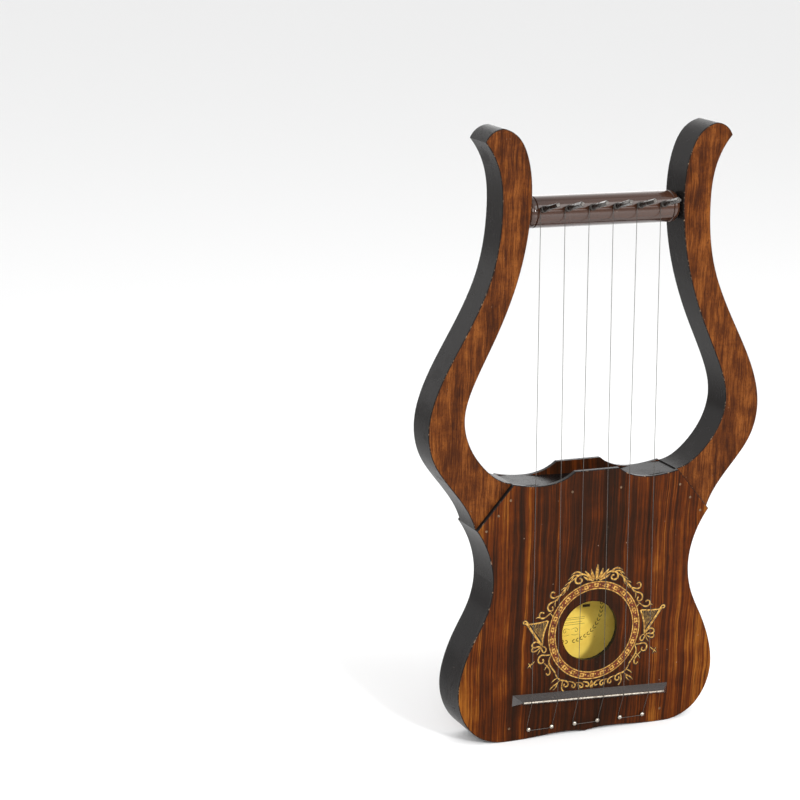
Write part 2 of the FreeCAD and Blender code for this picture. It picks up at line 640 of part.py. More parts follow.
def make_string_pair(pair):
    """One wire: down from a tuning pin, round two hitch pins, and up to the next tuning pin."""
    left = half_string(2 * pair, -1)
    right = half_string(2 * pair + 1, 1)
    bearing = SADDLE_DIAMETER / 2 + WIRE_RADIUS + SEAT_GAP
    wrap = HITCH_POST / 2 + WIRE_RADIUS + SEAT_GAP
    radii = [bearing, WIRE_BEND, wrap, wrap, WIRE_BEND, bearing]
    corners = left + right[::-1]
    path = rounded_path(corners, radii)
    section = Part.Wire(Part.makeCircle(WIRE_RADIUS, corners[0], corners[1] - corners[0]))
    wire = path.makePipeShell([section], True, True)
    print(f"string_pair_{pair + 1}: length {path.Length:.1f}, volume {wire.Volume:.2f},"
          f" section times length {math.pi * WIRE_RADIUS ** 2 * path.Length:.2f}")
    return wire.Solids[0]


# ------------------------------------------------------------------ assembly
def make_boards(board):
    """Soundboard, with its sound hole, and back; their outer faces' edges are eased."""
    front = prism(board, BOARD_FRONT, ARM_FRONT)
    front = ease(front, lambda edge: edge.BoundBox.YMax < BOARD_FRONT + EDGE_EASE)
    back = prism(board, ARM_BACK, BOARD_BACK)
    back = ease(back, lambda edge: edge.BoundBox.YMin > BOARD_BACK - EDGE_EASE)
    hole = rod(Vector(0, BOARD_FRONT - 1, SOUND_HOLE_HEIGHT), Vector(0, ARM_FRONT + 1, SOUND_HOLE_HEIGHT),
               SOUND_HOLE / 2)
    return front.cut(hole), back


def make_all():
    """Every piece of the lyre, by name."""
    outline = frame_outline()
    board = board_outline()
    cavity = make_cavity(board)
    blank = prism(outline, ARM_FRONT, ARM_BACK).cut(cavity)
    soundboard, back_board = make_boards(board)
    pieces = {
        "left_arm": make_arm(blank, -1),
        "right_arm": make_arm(blank, 1),
        "left_rib": make_rib(blank, -1),
        "right_rib": make_rib(blank, 1),
        "top_rail": make_top_rail(),
        "bottom_block": make_bottom_block(outline),
        "soundboard": soundboard,
        "back_board": back_board,
    }
    places = brad_places()
    bores = {"front": [brad_bore(place, BOARD_FRONT, -1) for place in places],
             "back": [brad_bore(place, BOARD_BACK, 1) for place in places]}
    hitch_bores = [hitch_bore(index) for index in range(STRING_COUNT)]
    cuts = {
        "soundboard": bores["front"] + hitch_bores,
        "back_board": bores["back"],
        "bottom_block": bores["front"] + bores["back"] + hitch_bores,
        "top_rail": bores["front"] + bores["back"],
        "left_arm": bores["front"] + bores["back"],
        "right_arm": bores["front"] + bores["back"],
    }
    for name, tools in cuts.items():
        pieces[name] = pieces[name].cut(Part.makeCompound(tools)).Solids[0]
    pieces.update(make_braces(cavity))
    label_z = SOUND_HOLE_HEIGHT - LABEL_DROP
    pieces["paper_label"] = box((-LABEL_WIDTH / 2, LABEL_WIDTH / 2), (ARM_BACK - LABEL_THICKNESS, ARM_BACK),
                                (label_z - LABEL_HEIGHT / 2, label_z + LABEL_HEIGHT / 2))
    pieces["crossbar"] = make_crossbar()
    pieces["bridge"] = make_bridge()
    pieces["saddle_rod"] = make_saddle_rod()
    pieces["hitch_pins"] = Part.makeCompound([make_hitch_pin(index) for index in range(STRING_COUNT)])
    pieces["front_brads"] = Part.makeCompound([brad(place, BOARD_FRONT, -1) for place in places])
    pieces["back_brads"] = Part.makeCompound([brad(place, BOARD_BACK, 1) for place in places])
    for index in range(STRING_COUNT):
        pieces[f"tuning_pin_{index + 1}"] = make_tuning_pin(index)
        pieces[f"string_coil_{index + 1}"] = make_coil(index)
    for pair in range(STRING_COUNT // 2):
        pieces[f"string_pair_{pair + 1}"] = make_string_pair(pair)
    return pieces


def main():
    """Build the lyre, write one STEP file for each piece, and print its size."""
    os.makedirs("parts", exist_ok=True)
    pieces = make_all()
    for name, shape in pieces.items():
        shape.exportStep(f"parts/{name}.step")
    whole = Part.makeCompound(list(pieces.values()))
    limits = whole.optimalBoundingBox(False)
    print(f"pieces {len(pieces)}, x {limits.XMin:.2f} to {limits.XMax:.2f}, y {limits.YMin:.2f} to"
          f" {limits.YMax:.2f}, z {limits.ZMin:.2f} to {limits.ZMax:.2f}")
    for index in range(STRING_COUNT):
        point = pin_point(index, BAR_RADIUS)
        print(f"tuning_pin_{index + 1} leaves the crossbar at {point.x:.3f}, {point.y:.3f}, {point.z:.3f}")


main()
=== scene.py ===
"""Six-string lyre: finishes, painted rose, label print, wound wire ends, and the studio."""
import json
import logging
import math
from dataclasses import dataclass, field
from enum import Enum
from typing import Any, Sequence

import bmesh
import bpy
from mathutils import Matrix, Vector


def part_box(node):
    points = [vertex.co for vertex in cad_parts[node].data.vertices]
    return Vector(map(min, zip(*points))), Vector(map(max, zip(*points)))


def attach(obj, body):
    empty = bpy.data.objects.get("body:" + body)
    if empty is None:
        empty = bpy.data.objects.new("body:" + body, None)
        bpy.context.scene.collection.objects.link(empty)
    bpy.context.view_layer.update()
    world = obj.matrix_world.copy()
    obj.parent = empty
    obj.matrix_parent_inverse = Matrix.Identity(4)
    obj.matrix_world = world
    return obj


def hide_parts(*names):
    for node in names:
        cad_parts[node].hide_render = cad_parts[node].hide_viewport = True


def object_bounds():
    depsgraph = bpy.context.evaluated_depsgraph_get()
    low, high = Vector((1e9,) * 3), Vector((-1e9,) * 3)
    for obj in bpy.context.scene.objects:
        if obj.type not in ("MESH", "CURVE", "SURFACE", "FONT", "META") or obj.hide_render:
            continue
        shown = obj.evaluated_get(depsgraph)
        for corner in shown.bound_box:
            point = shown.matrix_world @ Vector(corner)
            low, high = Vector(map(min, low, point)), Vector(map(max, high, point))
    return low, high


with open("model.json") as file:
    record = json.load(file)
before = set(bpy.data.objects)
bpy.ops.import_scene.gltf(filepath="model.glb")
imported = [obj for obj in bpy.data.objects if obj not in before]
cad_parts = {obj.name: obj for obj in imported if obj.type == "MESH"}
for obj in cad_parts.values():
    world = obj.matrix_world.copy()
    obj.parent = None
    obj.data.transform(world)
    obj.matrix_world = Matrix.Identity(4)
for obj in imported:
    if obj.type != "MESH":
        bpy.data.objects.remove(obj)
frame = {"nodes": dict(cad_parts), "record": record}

CAD_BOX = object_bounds()
MM = 0.001
LOG = logging.getLogger("lyre")
QUARTER_TURN = math.radians(90)

Colour = tuple[float, float, float]
Point = tuple[float, float]
Socket = bpy.types.NodeSocket
Material = bpy.types.Material


# ---------------------------------------------------------------- wiring of node trees
class Graph:
    """A node tree and short ways to add nodes to it."""

    def __init__(self, tree: bpy.types.NodeTree) -> None:
        """Keep the tree."""
        self.tree = tree

    def add(self, kind: str, inputs: dict[Any, Any] | None = None, **settings: Any) -> bpy.types.Node:
        """Add one node.

        Args:
            kind: the node's type, without its "ShaderNode" prefix.
            inputs: value or socket for each input, by name or number.
            settings: the node's own properties.

        Returns:
            The node.
        """
        node = self.tree.nodes.new("ShaderNode" + kind)
        for name, value in settings.items():
            setattr(node, name, value)
        for name, value in (inputs or {}).items():
            self.feed(node.inputs[name], value)
        return node

    def feed(self, socket: Socket, value: Any) -> None:
        """Link a socket to an input, or set the input's own value.

        Args:
            socket: the input.
            value: an output to link, a colour or a plain value.
        """
        if isinstance(value, Socket):
            self.tree.links.new(value, socket)
        elif isinstance(value, tuple) and len(value) == 3 and socket.type == "RGBA":
            socket.default_value = (*value, 1.0)
        else:
            socket.default_value = value

    def math(self, operation: str, first: Any, second: Any = 0.0,
             clamp: bool = False) -> Socket:
        """One Math node's result."""
        node = self.add("Math", {0: first, 1: second}, operation=operation, use_clamp=clamp)
        return node.outputs[0]

    def mix(self, share: Any, low: Any, high: Any, blend: str = "MIX") -> Socket:
        """Colour between two colours.

        Args:
            share: how much of the second colour shows.
            low: first colour or socket.
            high: second colour or socket.
            blend: the Mix node's way of blending.

        Returns:
            The mixed colour's socket.
        """
        node = self.add("Mix", data_type="RGBA", blend_type=blend, clamp_factor=True)
        self.feed(node.inputs[0], share)
        self.feed(node.inputs[6], low)
        self.feed(node.inputs[7], high)
        return node.outputs[2]

    def step(self, value: Any, low: float, high: float, to_low: float = 0.0,
             to_high: float = 1.0) -> Socket:
        """Smooth step of a value between two limits."""
        inputs = {0: value, 1: low, 2: high, 3: to_low, 4: to_high}
        return self.add("MapRange", inputs, interpolation_type="SMOOTHSTEP").outputs[0]

    def ramp(self, value: Any, stops: Sequence[tuple[float, Colour]]) -> Socket:
        """Colour ramp.

        Args:
            value: where on the ramp to read.
            stops: a position and a colour for each stop.

        Returns:
            The colour's socket.
        """
        node = self.add("ValToRGB", {0: value})
        node.color_ramp.elements.remove(node.color_ramp.elements[1])
        node.color_ramp.elements[0].position = stops[0][0]
        node.color_ramp.elements[0].color = (*stops[0][1], 1.0)
        for position, colour in stops[1:]:
            element = node.color_ramp.elements.new(position)
            element.color = (*colour, 1.0)
        return node.outputs[0]

    def place(self, scale: Sequence[float], centre: Sequence[float] = (0, 0, 0),
              turn: Sequence[float] = (0, 0, 0)) -> Socket:
        """Object coordinates about a centre, turned and scaled.

        Args:
            scale: factor for each axis.
            centre: the new origin.
            turn: rotation about each axis, in radians.

        Returns:
            The vector's socket.
        """
        coordinates = self.add("TexCoord").outputs["Object"]
        moved = self.add("VectorMath", {0: coordinates, 1: tuple(centre)}, operation="SUBTRACT").outputs[0]
        node = self.add("Mapping", {"Vector": moved, "Scale": tuple(scale), "Rotation": tuple(turn)})
        return node.outputs[0]

    def noise(self, vector: Any, scale: float, detail: float = 3.0, rough: float = 0.5) -> Socket:
        """Noise value at a scale."""
        inputs = {"Vector": vector, "Scale": scale, "Detail": detail, "Roughness": rough}
        return self.add("TexNoise", inputs).outputs[0]

    def bump(self, height: Any, depth: float, strength: float) -> Socket:
        """Normal bent by a height, with its depth in metres."""
        return self.add("Bump", {"Height": height, "Distance": depth, "Strength": strength}).outputs[0]


class Effect(Enum):
    """Node groups that several finishes share."""

    GRAIN = "straight_grain"
    WEAR = "handling_wear"


@dataclass
class EffectShelf:
    """Builds each shared node group once."""

    made: dict[Effect, bpy.types.ShaderNodeTree] = field(default_factory=dict)

    def new_group(self, effect: Effect, inputs: Sequence[tuple[str, str, Any]],
                  outputs: Sequence[str]) -> tuple[Graph, bpy.types.Node, bpy.types.Node]:
        """Start a node group.

        Args:
            effect: which effect it is.
            inputs: name, socket type and starting value of each input.
            outputs: names of its value outputs.

        Returns:
            The group's graph, its input node and its output node.
        """
        tree = bpy.data.node_groups.new(effect.value, "ShaderNodeTree")
        for name, kind, value in inputs:
            socket = tree.interface.new_socket(name=name, in_out="INPUT", socket_type=kind)
            if value is not None:
                socket.default_value = value
        for name in outputs:
            tree.interface.new_socket(name=name, in_out="OUTPUT", socket_type="NodeSocketFloat")
        graph = Graph(tree)
        self.made[effect] = tree
        return graph, tree.nodes.new("NodeGroupInput"), tree.nodes.new("NodeGroupOutput")

    def grain(self) -> None:
        """Straight grain: broad bands, streaks, fine pores and cloudy figure."""
        inputs = [("Vector", "NodeSocketVector", None), ("Stretch", "NodeSocketFloat", 0.04),
                  ("Wander", "NodeSocketFloat", 0.3)]
        graph, given, out = self.new_group(Effect.GRAIN, inputs, ["Bands", "Streaks", "Pores", "Figure"])
        split = graph.add("SeparateXYZ", {0: given.outputs["Vector"]})
        drift = graph.noise(given.outputs["Vector"], 14.0, 2.0)
        shift = graph.math("MULTIPLY", graph.math("SUBTRACT", drift, 0.5), given.outputs["Wander"])
        across = graph.math("ADD", split.outputs[0], graph.math("MULTIPLY", shift, 0.02))
        along = graph.math("MULTIPLY", split.outputs[2], given.outputs["Stretch"])
        grain = graph.add("CombineXYZ", {0: across, 1: split.outputs[1], 2: along}).outputs[0]
        shorter = graph.math("MULTIPLY", along, 3.0)
        short = graph.add("CombineXYZ", {0: across, 1: split.outputs[1], 2: shorter}).outputs[0]
        graph.feed(out.inputs["Bands"], graph.noise(grain, 75.0, 3.0, 0.55))
        graph.feed(out.inputs["Streaks"], graph.noise(grain, 420.0, 4.0, 0.65))
        graph.feed(out.inputs["Pores"], graph.noise(short, 1500.0, 2.0, 0.6))
        graph.feed(out.inputs["Figure"], graph.noise(given.outputs["Vector"], 38.0, 4.0, 0.6))

    def wear(self) -> None:
        """Fine random scratches, small specks and rubbed patches."""
        inputs = [("Vector", "NodeSocketVector", None), ("Amount", "NodeSocketFloat", 0.5)]
        graph, given, out = self.new_group(Effect.WEAR, inputs, ["Scratches", "Specks", "Rubbed"])
        lines = []
        for turn, scale in ((0.5, 95.0), (-0.9, 120.0), (1.35, 80.0)):
            turned = graph.add("Mapping", {"Vector": given.outputs["Vector"], "Rotation": (0.0, turn, 0.3),
                                           "Scale": (1.0, 1.0, 0.06)})
            cells = graph.add("TexVoronoi", {"Vector": turned.outputs[0], "Scale": scale, "Randomness": 1.0},
                              feature="DISTANCE_TO_EDGE")
            lines.append(graph.step(cells.outputs["Distance"], 0.004, 0.016, 1.0, 0.0))
        some = graph.step(graph.noise(given.outputs["Vector"], 45.0, 2.0), 0.52, 0.62)
        either = graph.math("MAXIMUM", graph.math("MAXIMUM", lines[0], lines[1]), lines[2])
        patchy = graph.math("MULTIPLY", either, some)
        graph.feed(out.inputs["Scratches"], graph.math("MULTIPLY", patchy, given.outputs["Amount"]))
        dots = graph.add("TexVoronoi", {"Vector": given.outputs["Vector"], "Scale": 170.0, "Randomness": 1.0},
                         feature="F1")
        few = graph.step(graph.noise(given.outputs["Vector"], 90.0, 1.0), 0.6, 0.68)
        near = graph.step(dots.outputs["Distance"], 0.05, 0.11, 1.0, 0.0)
        graph.feed(out.inputs["Specks"], graph.math("MULTIPLY", near, few))
        cloud = graph.noise(given.outputs["Vector"], 26.0, 5.0, 0.7)
        graph.feed(out.inputs["Rubbed"], graph.step(cloud, 0.5, 0.72))

    def use(self, graph: Graph, effect: Effect, inputs: dict[str, Any]) -> bpy.types.Node:
        """Place a shared effect in a material, building it the first time.

        Args:
            graph: the material's graph.
            effect: which effect.
            inputs: its own values for this material.

        Returns:
            The group node.
        """
        if effect not in self.made:
            {Effect.GRAIN: self.grain, Effect.WEAR: self.wear}[effect]()
        node = graph.tree.nodes.new("ShaderNodeGroup")
        node.node_tree = self.made[effect]
        for name, value in inputs.items():
            graph.feed(node.inputs[name], value)
        return node


SHELF = EffectShelf()


# ---------------------------------------------------------------- finishes
def start_material(name: str) -> tuple[Material, Graph, bpy.types.Node]:
    """Empty material with one Principled shader.

    Args:
        name: the material's name.

    Returns:
        The material, its graph and its shader.
    """
    material = bpy.data.materials.new(name)
    material.use_nodes = True
    material.node_tree.nodes.clear()
    graph = Graph(material.node_tree)
    shader = graph.add("BsdfPrincipled")
    output = graph.add("OutputMaterial")
    graph.feed(output.inputs["Surface"], shader.outputs[0])
    return material, graph, shader


def facing_front(graph: Graph) -> Socket:
    """How squarely a surface faces the front or the back, from 0 to 1."""
    normal = graph.add("SeparateXYZ", {0: graph.add("TexCoord").outputs["Normal"]})
    return graph.math("ABSOLUTE", normal.outputs[1])


@dataclass(frozen=True)
class StainedWood:
    """Stained, lightly varnished wood on the flat faces and black lacquer on the edges."""

    name: str
    dark: Colour
    middle: Colour
    warm: Colour
    bright: Colour
    stretch: float = 0.04
    fineness: float = 1.0
    streak_share: float = 0.55
    figure_share: float = 0.4
    tone_low: float = 0.32
    tone_high: float = 0.78
    centre_shade: float = 0.0
    shade_from: float = 0.03
    shade_to: float = 0.10
    speck_share: float = 0.5
    edge_colour: Colour = (0.010, 0.0085, 0.008)
    # Pale colour of the bevel patches: partly real pale chips, partly a painted highlight for the bright edge
    # lines
    chip_and_highlight_colour: Colour = (0.26, 0.17, 0.11)
    roughness: float = 0.42
    shift: tuple[float, float, float] = (0.0, 0.0, 0.0)

    def handled(self, graph: Graph) -> Socket:
        """How much darker the stain is toward the middle of the lyre.

        Args:
            graph: the material's graph.

        Returns:
            The socket of the tone to take off.
        """
        split = graph.add("SeparateXYZ", {0: graph.place((1, 1, 1))})
        cloud = graph.math("MULTIPLY", graph.noise(graph.place((1, 1, 0.4)), 22.0, 3.0), 0.05)
        aside = graph.math("ADD", graph.math("ABSOLUTE", split.outputs[0]), cloud)
        return graph.step(aside, self.shade_from, self.shade_to, self.centre_shade, 0.0)

    def build(self) -> Material:
        """Make the material."""
        material, graph, shader = start_material(self.name)
        place = graph.place((self.fineness, 1, self.fineness), self.shift)
        grain = SHELF.use(graph, Effect.GRAIN, {"Vector": place, "Stretch": self.stretch, "Wander": 0.5})
        wear = SHELF.use(graph, Effect.WEAR, {"Vector": place, "Amount": 0.7})
        streaks = graph.math("MULTIPLY", grain.outputs["Streaks"], self.streak_share)
        bands = graph.math("MULTIPLY", grain.outputs["Bands"], 0.85 - self.streak_share / 2)
        cloudy = graph.math("SUBTRACT", grain.outputs["Figure"], 0.5)
        figure = graph.math("MULTIPLY", cloudy, self.figure_share)
        tone = graph.math("ADD", graph.math("ADD", streaks, bands), figure)
        tone = graph.math("SUBTRACT", tone, self.handled(graph))
        tone = graph.step(tone, self.tone_low, self.tone_high)
        stops = [(0.0, self.dark), (0.38, self.middle), (0.7, self.warm), (1.0, self.bright)]
        colour = graph.ramp(tone, stops)
        pores = graph.step(grain.outputs["Pores"], 0.34, 0.46, 0.75, 0.0)
        colour = graph.mix(pores, colour, self.dark)
        lighter = graph.math("MULTIPLY", wear.outputs["Specks"], self.speck_share)
        colour = graph.mix(lighter, colour, (0.42, 0.30, 0.22))
        scuffed = graph.math("MULTIPLY", wear.outputs["Scratches"], 0.35)
        colour = graph.mix(scuffed, colour, self.dark)
        facing = facing_front(graph)
        flat_part = graph.step(facing, 0.86, 0.97)
        not_flat = graph.math("SUBTRACT", 1.0, flat_part)
        # Painted highlight mixed with wear: pale patches on the bevels between the front and the sides stand
        # partly for real chips and partly for the bright edge lines that light gives there
        bevel_part = graph.math("MULTIPLY", graph.step(facing, 0.3, 0.55), not_flat)
        chips_and_highlight_spots = graph.step(graph.noise(place, 210.0, 5.0, 0.72), 0.55, 0.66)
        edge = graph.mix(graph.math("MULTIPLY", bevel_part, chips_and_highlight_spots), self.edge_colour, self.chip_and_highlight_colour)
        colour = graph.mix(flat_part, edge, colour)
        graph.feed(shader.inputs["Base Color"], colour)
        cloud = graph.noise(place, 60.0, 4.0)
        gloss = graph.step(cloud, 0.3, 0.7, self.roughness - 0.08, self.roughness + 0.1)
        side_gloss = graph.step(wear.outputs["Rubbed"], 0.0, 1.0, 0.24, 0.4)
        rough_mix = graph.add("Mix", data_type="FLOAT")
        graph.feed(rough_mix.inputs[0], flat_part)
        graph.feed(rough_mix.inputs[2], side_gloss)
        graph.feed(rough_mix.inputs[3], gloss)
        graph.feed(shader.inputs["Roughness"], rough_mix.outputs[0])
        pitted = graph.math("MULTIPLY", grain.outputs["Pores"], 0.7)
        relief = graph.math("ADD", pitted, grain.outputs["Streaks"])
        relief = graph.math("SUBTRACT", relief, graph.math("MULTIPLY", wear.outputs["Scratches"], 0.8))
        graph.feed(shader.inputs["Normal"], graph.bump(relief, 0.00012, 0.5))
        shader.inputs["Specular IOR Level"].default_value = 0.05
        return material


@dataclass(frozen=True)
class Lacquer:
    """Gloss or satin lacquer over wood, with fine scratches and dust."""

    name: str
    colour: Colour
    worn: Colour
    roughness: float
    coat: float = 0.6
    coat_roughness: float = 0.08
    specular: float = 0.5
    grain_turn: tuple[float, float, float] = (0.0, 0.0, 0.0)

    def build(self) -> Material:
        """Make the material."""
        material, graph, shader = start_material(self.name)
        place = graph.place((1, 1, 1), turn=self.grain_turn)
        grain = SHELF.use(graph, Effect.GRAIN, {"Vector": place, "Stretch": 0.05, "Wander": 0.4})
        wear = SHELF.use(graph, Effect.WEAR, {"Vector": place, "Amount": 0.8})
        tone = graph.math("MULTIPLY", graph.step(grain.outputs["Bands"], 0.3, 0.7), 0.6)
        colour = graph.mix(tone, self.colour, self.worn)
        colour = graph.mix(graph.math("MULTIPLY", wear.outputs["Specks"], 0.35), colour, (0.35, 0.28, 0.22))
        graph.feed(shader.inputs["Base Color"], colour)
        rub = graph.math("ADD", graph.math("MULTIPLY", wear.outputs["Rubbed"], 0.12), self.roughness)
        rub = graph.math("ADD", rub, graph.math("MULTIPLY", wear.outputs["Scratches"], 0.2), clamp=True)
        graph.feed(shader.inputs["Roughness"], rub)
        ridges = graph.math("MULTIPLY", grain.outputs["Streaks"], 0.35)
        relief = graph.math("SUBTRACT", ridges, wear.outputs["Scratches"])
        graph.feed(shader.inputs["Normal"], graph.bump(relief, 0.00005, 0.4))
        shader.inputs["Specular IOR Level"].default_value = self.specular
        shader.inputs["Coat Weight"].default_value = self.coat
        shader.inputs["Coat Roughness"].default_value = self.coat_roughness
        return material


@dataclass(frozen=True)
class Metal:
    """Bare or plated metal with a little tarnish."""

    name: str
    colour: Colour
    tarnish: Colour
    roughness: float
    tarnish_share: float = 0.4
    scale: float = 500.0

    def build(self) -> Material:
        """Make the material."""
        material, graph, shader = start_material(self.name)
        place = graph.place((1, 1, 1))
        cloud = graph.noise(place, self.scale, 4.0, 0.6)
        share = graph.math("MULTIPLY", graph.step(cloud, 0.42, 0.66), self.tarnish_share)
        graph.feed(shader.inputs["Base Color"], graph.mix(share, self.colour, self.tarnish))
        rough = graph.math("ADD", graph.math("MULTIPLY", share, 0.3), self.roughness)
        graph.feed(shader.inputs["Roughness"], rough)
        graph.feed(shader.inputs["Metallic"], graph.math("SUBTRACT", 1.0, graph.math("MULTIPLY", share, 0.4)))
        graph.feed(shader.inputs["Normal"], graph.bump(cloud, 0.00002, 0.3))
        return material


@dataclass(frozen=True)
class Print:
    """Transfer or ink that has worn thin in places."""

    name: str
    colour: Colour
    second: Colour
    worn: Colour
    metallic: float = 0.0
    roughness: float = 0.4
    wear_from: float = 0.6
    scale: float = 260.0
    specular: float = 0.15

    def build(self) -> Material:
        """Make the material."""
        material, graph, shader = start_material(self.name)
        place = graph.place((1, 1, 1))
        tone = graph.step(graph.noise(place, self.scale * 1.7, 3.0), 0.35, 0.65)
        gone = graph.step(graph.noise(place, self.scale, 5.0, 0.7), self.wear_from, self.wear_from + 0.12)
        colour = graph.mix(gone, graph.mix(tone, self.colour, self.second), self.worn)
        graph.feed(shader.inputs["Base Color"], colour)
        keep = graph.math("MULTIPLY", graph.math("SUBTRACT", 1.0, gone), self.metallic)
        graph.feed(shader.inputs["Metallic"], keep)
        rough = graph.math("ADD", graph.math("MULTIPLY", gone, 0.2), self.roughness)
        graph.feed(shader.inputs["Roughness"], rough)
        shader.inputs["Specular IOR Level"].default_value = self.specular
        return material


@dataclass(frozen=True)
class Paper:
    """Yellowed paper with fibres and foxing."""

    name: str = "yellowed_paper"
    colour: Colour = (0.84, 0.61, 0.11)
    aged: Colour = (0.70, 0.45, 0.06)

    def build(self) -> Material:
        """Make the material."""
        material, graph, shader = start_material(self.name)
        place = graph.place((1, 1, 1))
        cloud = graph.step(graph.noise(place, 45.0, 5.0, 0.6), 0.35, 0.7)
        fibres = graph.noise(place, 1400.0, 3.0, 0.7)
        colour = graph.mix(graph.math("MULTIPLY", cloud, 0.7), self.colour, self.aged)
        foxing = graph.step(graph.noise(place, 240.0, 2.0), 0.68, 0.74, 0.0, 0.5)
        graph.feed(shader.inputs["Base Color"], graph.mix(foxing, colour, (0.36, 0.2, 0.05)))
        shader.inputs["Roughness"].default_value = 0.75
        shader.inputs["Specular IOR Level"].default_value = 0.1
        graph.feed(shader.inputs["Normal"], graph.bump(fibres, 0.00004, 0.5))
        return material


@dataclass(frozen=True)
class RawWood:
    """Unfinished softwood inside the sound box."""

    name: str = "raw_spruce"
    colour: Colour = (0.46, 0.30, 0.15)
    late: Colour = (0.30, 0.17, 0.07)

    def build(self) -> Material:
        """Make the material."""
        material, graph, shader = start_material(self.name)
        place = graph.place((1, 1, 1), turn=(0.0, math.pi / 2, 0.0))
        grain = SHELF.use(graph, Effect.GRAIN, {"Vector": place, "Stretch": 0.03, "Wander": 0.2})
        share = graph.step(grain.outputs["Streaks"], 0.4, 0.65)
        graph.feed(shader.inputs["Base Color"], graph.mix(share, self.colour, self.late))
        shader.inputs["Roughness"].default_value = 0.8
        graph.feed(shader.inputs["Normal"], graph.bump(grain.outputs["Streaks"], 0.0001, 0.4))
        return material


ARM_WOOD = StainedWood("stained_arm_wood", (0.012, 0.0042, 0.0018), (0.038, 0.0100, 0.0024),
                       (0.074, 0.0195, 0.0036), (0.155, 0.048, 0.009), stretch=0.06, fineness=2.0,
                       streak_share=0.66, figure_share=0.42, tone_low=0.24, tone_high=0.82, roughness=0.38)
BOARD_WOOD = StainedWood("stained_board_wood", (0.009, 0.0040, 0.0018), (0.031, 0.0074, 0.0016),
                         (0.074, 0.0155, 0.0018), (0.20, 0.066, 0.008), stretch=0.009, streak_share=0.68,
                         figure_share=0.25, tone_low=0.31, tone_high=0.80, centre_shade=0.13,
                         shade_from=0.045, shade_to=0.12, roughness=0.38, shift=(0.03, 0.0, 0.0))
BLACK = Lacquer("black_lacquer", (0.005, 0.0042, 0.004), (0.009, 0.0065, 0.006), 0.26, coat=0.0,
                specular=0.05)
BAR = Lacquer("crossbar_lacquer", (0.022, 0.0085, 0.005), (0.060, 0.024, 0.012), 0.22, coat=0.75,
              coat_roughness=0.04, specular=0.15, grain_turn=(0.0, math.pi / 2, 0.0))
BRIDGE = Lacquer("bridge_lacquer", (0.011, 0.009, 0.0085), (0.045, 0.037, 0.033), 0.24, coat=0.7,
                 coat_roughness=0.14, grain_turn=(0.0, math.pi / 2, 0.0))
NICKEL = Metal("nickel_plate", (0.46, 0.42, 0.36), (0.12, 0.09, 0.065), 0.22, tarnish_share=0.75,
               scale=330.0)
PIN_STEEL = Metal("burnished_steel", (0.10, 0.092, 0.085), (0.018, 0.015, 0.013), 0.20, tarnish_share=0.85)
BRAD_STEEL = Metal("dull_brad_steel", (0.16, 0.10, 0.06), (0.04, 0.026, 0.017), 0.42, tarnish_share=0.8)
STRING_STEEL = Metal("string_wire", (0.10, 0.092, 0.085), (0.04, 0.034, 0.03), 0.30, tarnish_share=0.5)
GOLD = Print("gold_transfer", (0.46, 0.27, 0.062), (0.20, 0.088, 0.015), (0.06, 0.02, 0.007),
             metallic=0.2, roughness=0.36, wear_from=0.62)
RED = Print("red_transfer", (0.11, 0.021, 0.005), (0.050, 0.011, 0.004), (0.02, 0.007, 0.004),
            roughness=0.42)
SHADOW = Print("dark_transfer", (0.010, 0.007, 0.006), (0.014, 0.009, 0.007), (0.03, 0.014, 0.008),
               roughness=0.45, wear_from=0.72)
INK = Print("label_ink", (0.035, 0.022, 0.010), (0.06, 0.035, 0.012), (0.34, 0.24, 0.06),
            roughness=0.7, wear_from=0.58, scale=420.0)


# ---------------------------------------------------------------- making pieces
def dress(node: str, material: Material) -> None:
    """Give a CAD node its finish."""
    mesh = frame["nodes"][node].data
    mesh.materials.clear()
    mesh.materials.append(material)
    LOG.info("%s: %s", node, material.name)


def piece(name: str, bm: bmesh.types.BMesh, material: Material, body: str,
          smooth: bool = True) -> bpy.types.Object:
    """Turn a finished bmesh into a piece of the lyre.

    Args:
        name: the piece's name.
        bm: its shape, in metres and in place.
        material: its finish.
        body: the body that it moves with.
        smooth: whether its faces are shaded smooth.

    Returns:
        The object.
    """
    bmesh.ops.remove_doubles(bm, verts=bm.verts, dist=1e-7)
    bmesh.ops.recalc_face_normals(bm, faces=bm.faces)
    mesh = bpy.data.meshes.new(name)
    bm.to_mesh(mesh)
    bm.free()
    for polygon in mesh.polygons:
        polygon.use_smooth = smooth
    mesh.materials.append(material)
    made = bpy.data.objects.new(name, mesh)
    bpy.context.scene.collection.objects.link(made)
    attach(made, body)
    LOG.info("%s: %d faces", name, len(mesh.polygons))
    return made


class Taper(Enum):
    """How a painted stroke's width changes along it."""

    SCROLL = (0.45, 0.9, 1.0, 0.75, 0.9)
    LEAF = (0.25, 0.9, 1.0, 0.6, 0.08)
    TAIL = (1.0, 0.85, 0.65, 0.4, 0.15)
    EVEN = (1.0, 1.0, 1.0, 1.0, 1.0)

    def at(self, share: float) -> float:
        """Width at a place along the stroke.

        Args:
            share: share of the stroke's length, from 0 to 1.

        Returns:
            Share of the full width.
        """
        spot = share * (len(self.value) - 1)
        low = min(int(spot), len(self.value) - 2)
        return self.value[low] + (self.value[low + 1] - self.value[low]) * (spot - low)


@dataclass(frozen=True)
class Stroke:
    """One painted stroke: width in mm, taper, and points in mm from the rose's centre."""

    width: float
    taper: Taper
    points: tuple[Point, ...]

    def mirrored(self) -> "Stroke":
        """The same stroke on the other side."""
        return Stroke(self.width, self.taper, tuple((-u, v) for u, v in self.points))


